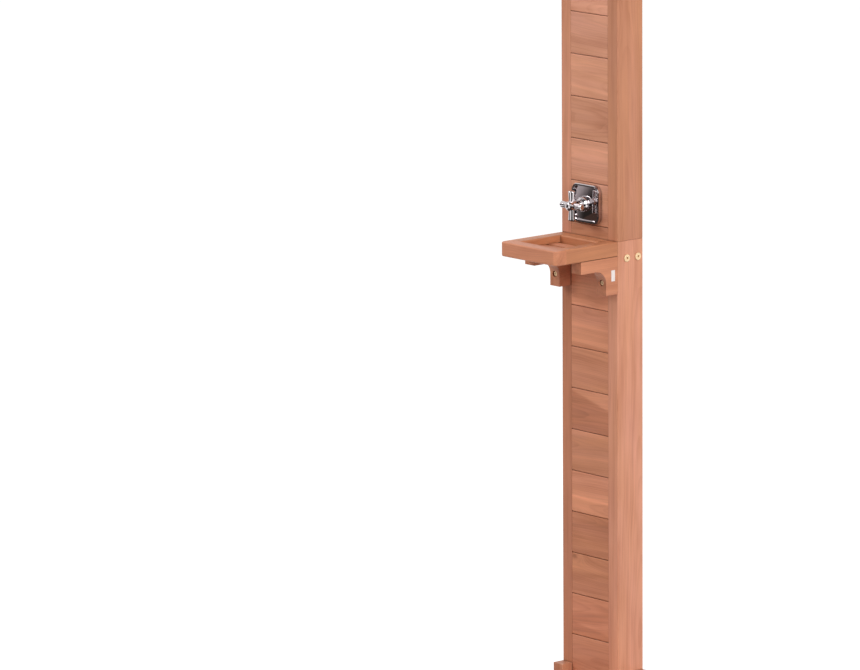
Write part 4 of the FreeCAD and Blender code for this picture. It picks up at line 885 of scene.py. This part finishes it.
def only_for_mirrors(card):
    """Hides a card of the studio from the camera and from the light on surfaces."""
    card.visible_camera = False
    card.visible_diffuse = False
    card.visible_shadow = False


def card_tree(name):
    """The material of a card, which glows in a colour that is still to be set and mirrors nothing."""
    tree = Tree(name)
    tree.set(Base_Color=BLACK, Roughness=1.0, Specular_IOR_Level=0.0, Emission_Strength=1.0)
    return tree


def flag(name, azimuth, elevation, distance, width, height, dark, pale):
    """A card that only polished metal sees, dark at its lower right and pale at its upper left."""
    tree = card_tree(name)
    place = tree.parts(tree.node("TexCoord").outputs["Generated"])
    corner = tree.math("SUBTRACT", place[1], place[0])
    tree.set(Emission_Color=tree.mix(tree.steps(corner, *CARD_SHADES), dark, pale))
    card = sheet(name, rectangle(width / 2, height / 2), tree.material)
    stand(card, direction(azimuth, elevation), distance)
    only_for_mirrors(card)


def tray_flag():
    """A dark card just over the tray that polished metal sees from above, a painted reflection of the tray
    as if it were in shade; from below it isn't there.
    """
    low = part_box("tray_front_rail")[0]
    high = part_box("tray_back_rail")[1]
    z = high.z + PAINTED_TRAY_SHADE_LIFT
    tree = card_tree("tray_flag")
    above = tree.math("SUBTRACT", 1.0, tree.node("NewGeometry").outputs["Backfacing"])
    tree.set(Emission_Color=PAINTED_TRAY_SHADE_COLOUR, Alpha=above)
    corners = [(low.x, low.y, z), (-low.x, low.y, z), (-low.x, high.y, z), (low.x, high.y, z)]
    card = sheet("tray_flag", corners, tree.material)
    only_for_mirrors(card)


def lights():
    """A key lamp on the right and a softer one at the front left, and the cards that chrome mirrors, one
    of them a painted dark reflection of the tray.
    """
    lamp("key", azimuth=78, elevation=28, distance=7.0, size=4.0, watts=345)
    lamp("front_fill", azimuth=-28, elevation=30, distance=6.0, size=2.4, watts=132)
    flag("left_flag", azimuth=-49, elevation=-11, distance=3.0, width=2.6, height=2.6,
         dark=(0.03, 0.025, 0.022), pale=(0.64, 0.57, 0.58))
    flag("camera_flag", azimuth=49, elevation=-12, distance=2.0, width=2.0, height=1.3,
         dark=(0.02, 0.02, 0.02), pale=(0.10, 0.10, 0.10))
    flag("right_flag", azimuth=100, elevation=5, distance=4.0, width=1.0, height=2.4,
         dark=(0.03, 0.03, 0.03), pale=(0.10, 0.10, 0.10))
    # a painted dark reflection over the tray
    tray_flag()
    flag("top_flag", azimuth=10, elevation=66, distance=3.0, width=4.0, height=2.6,
         dark=(0.12, 0.11, 0.11), pale=(0.50, 0.47, 0.48))


def camera():
    """The photograph's camera, which looks past the column so that it stands at the picture's right."""
    back = direction(CAMERA_AZIMUTH, CAMERA_ELEVATION)
    a = math.radians(CAMERA_AZIMUTH)
    roll = math.radians(CAMERA_ROLL)
    right = Vector((math.cos(a), math.sin(a), 0))
    up = back.cross(right)
    joint = box_centre("lower_side_right")
    joint.x = 0
    joint.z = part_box("upper_side_right")[0].z
    aim = joint + right * AIM_SIDEWAYS + Vector((0, 0, AIM_UP))
    x = math.cos(roll) * right + math.sin(roll) * up
    y = math.cos(roll) * up - math.sin(roll) * right
    data = bpy.data.cameras.new("camera")
    data.sensor_width = SENSOR_WIDTH
    data.lens = FOCAL_PIXELS * SENSOR_WIDTH / IMAGE_WIDTH
    data.clip_start, data.clip_end = CAMERA_RANGE
    made = bpy.data.objects.new("camera", data)
    turn = Matrix((x, y, back)).transposed().to_4x4()
    made.matrix_world = Matrix.Translation(aim + back * CAMERA_DISTANCE) @ turn
    bpy.context.scene.collection.objects.link(made)
    bpy.context.scene.camera = made


camera()
timber()
finishes()
floor()
sky()
lights()
bpy.context.scene.view_settings.view_transform = "Standard"
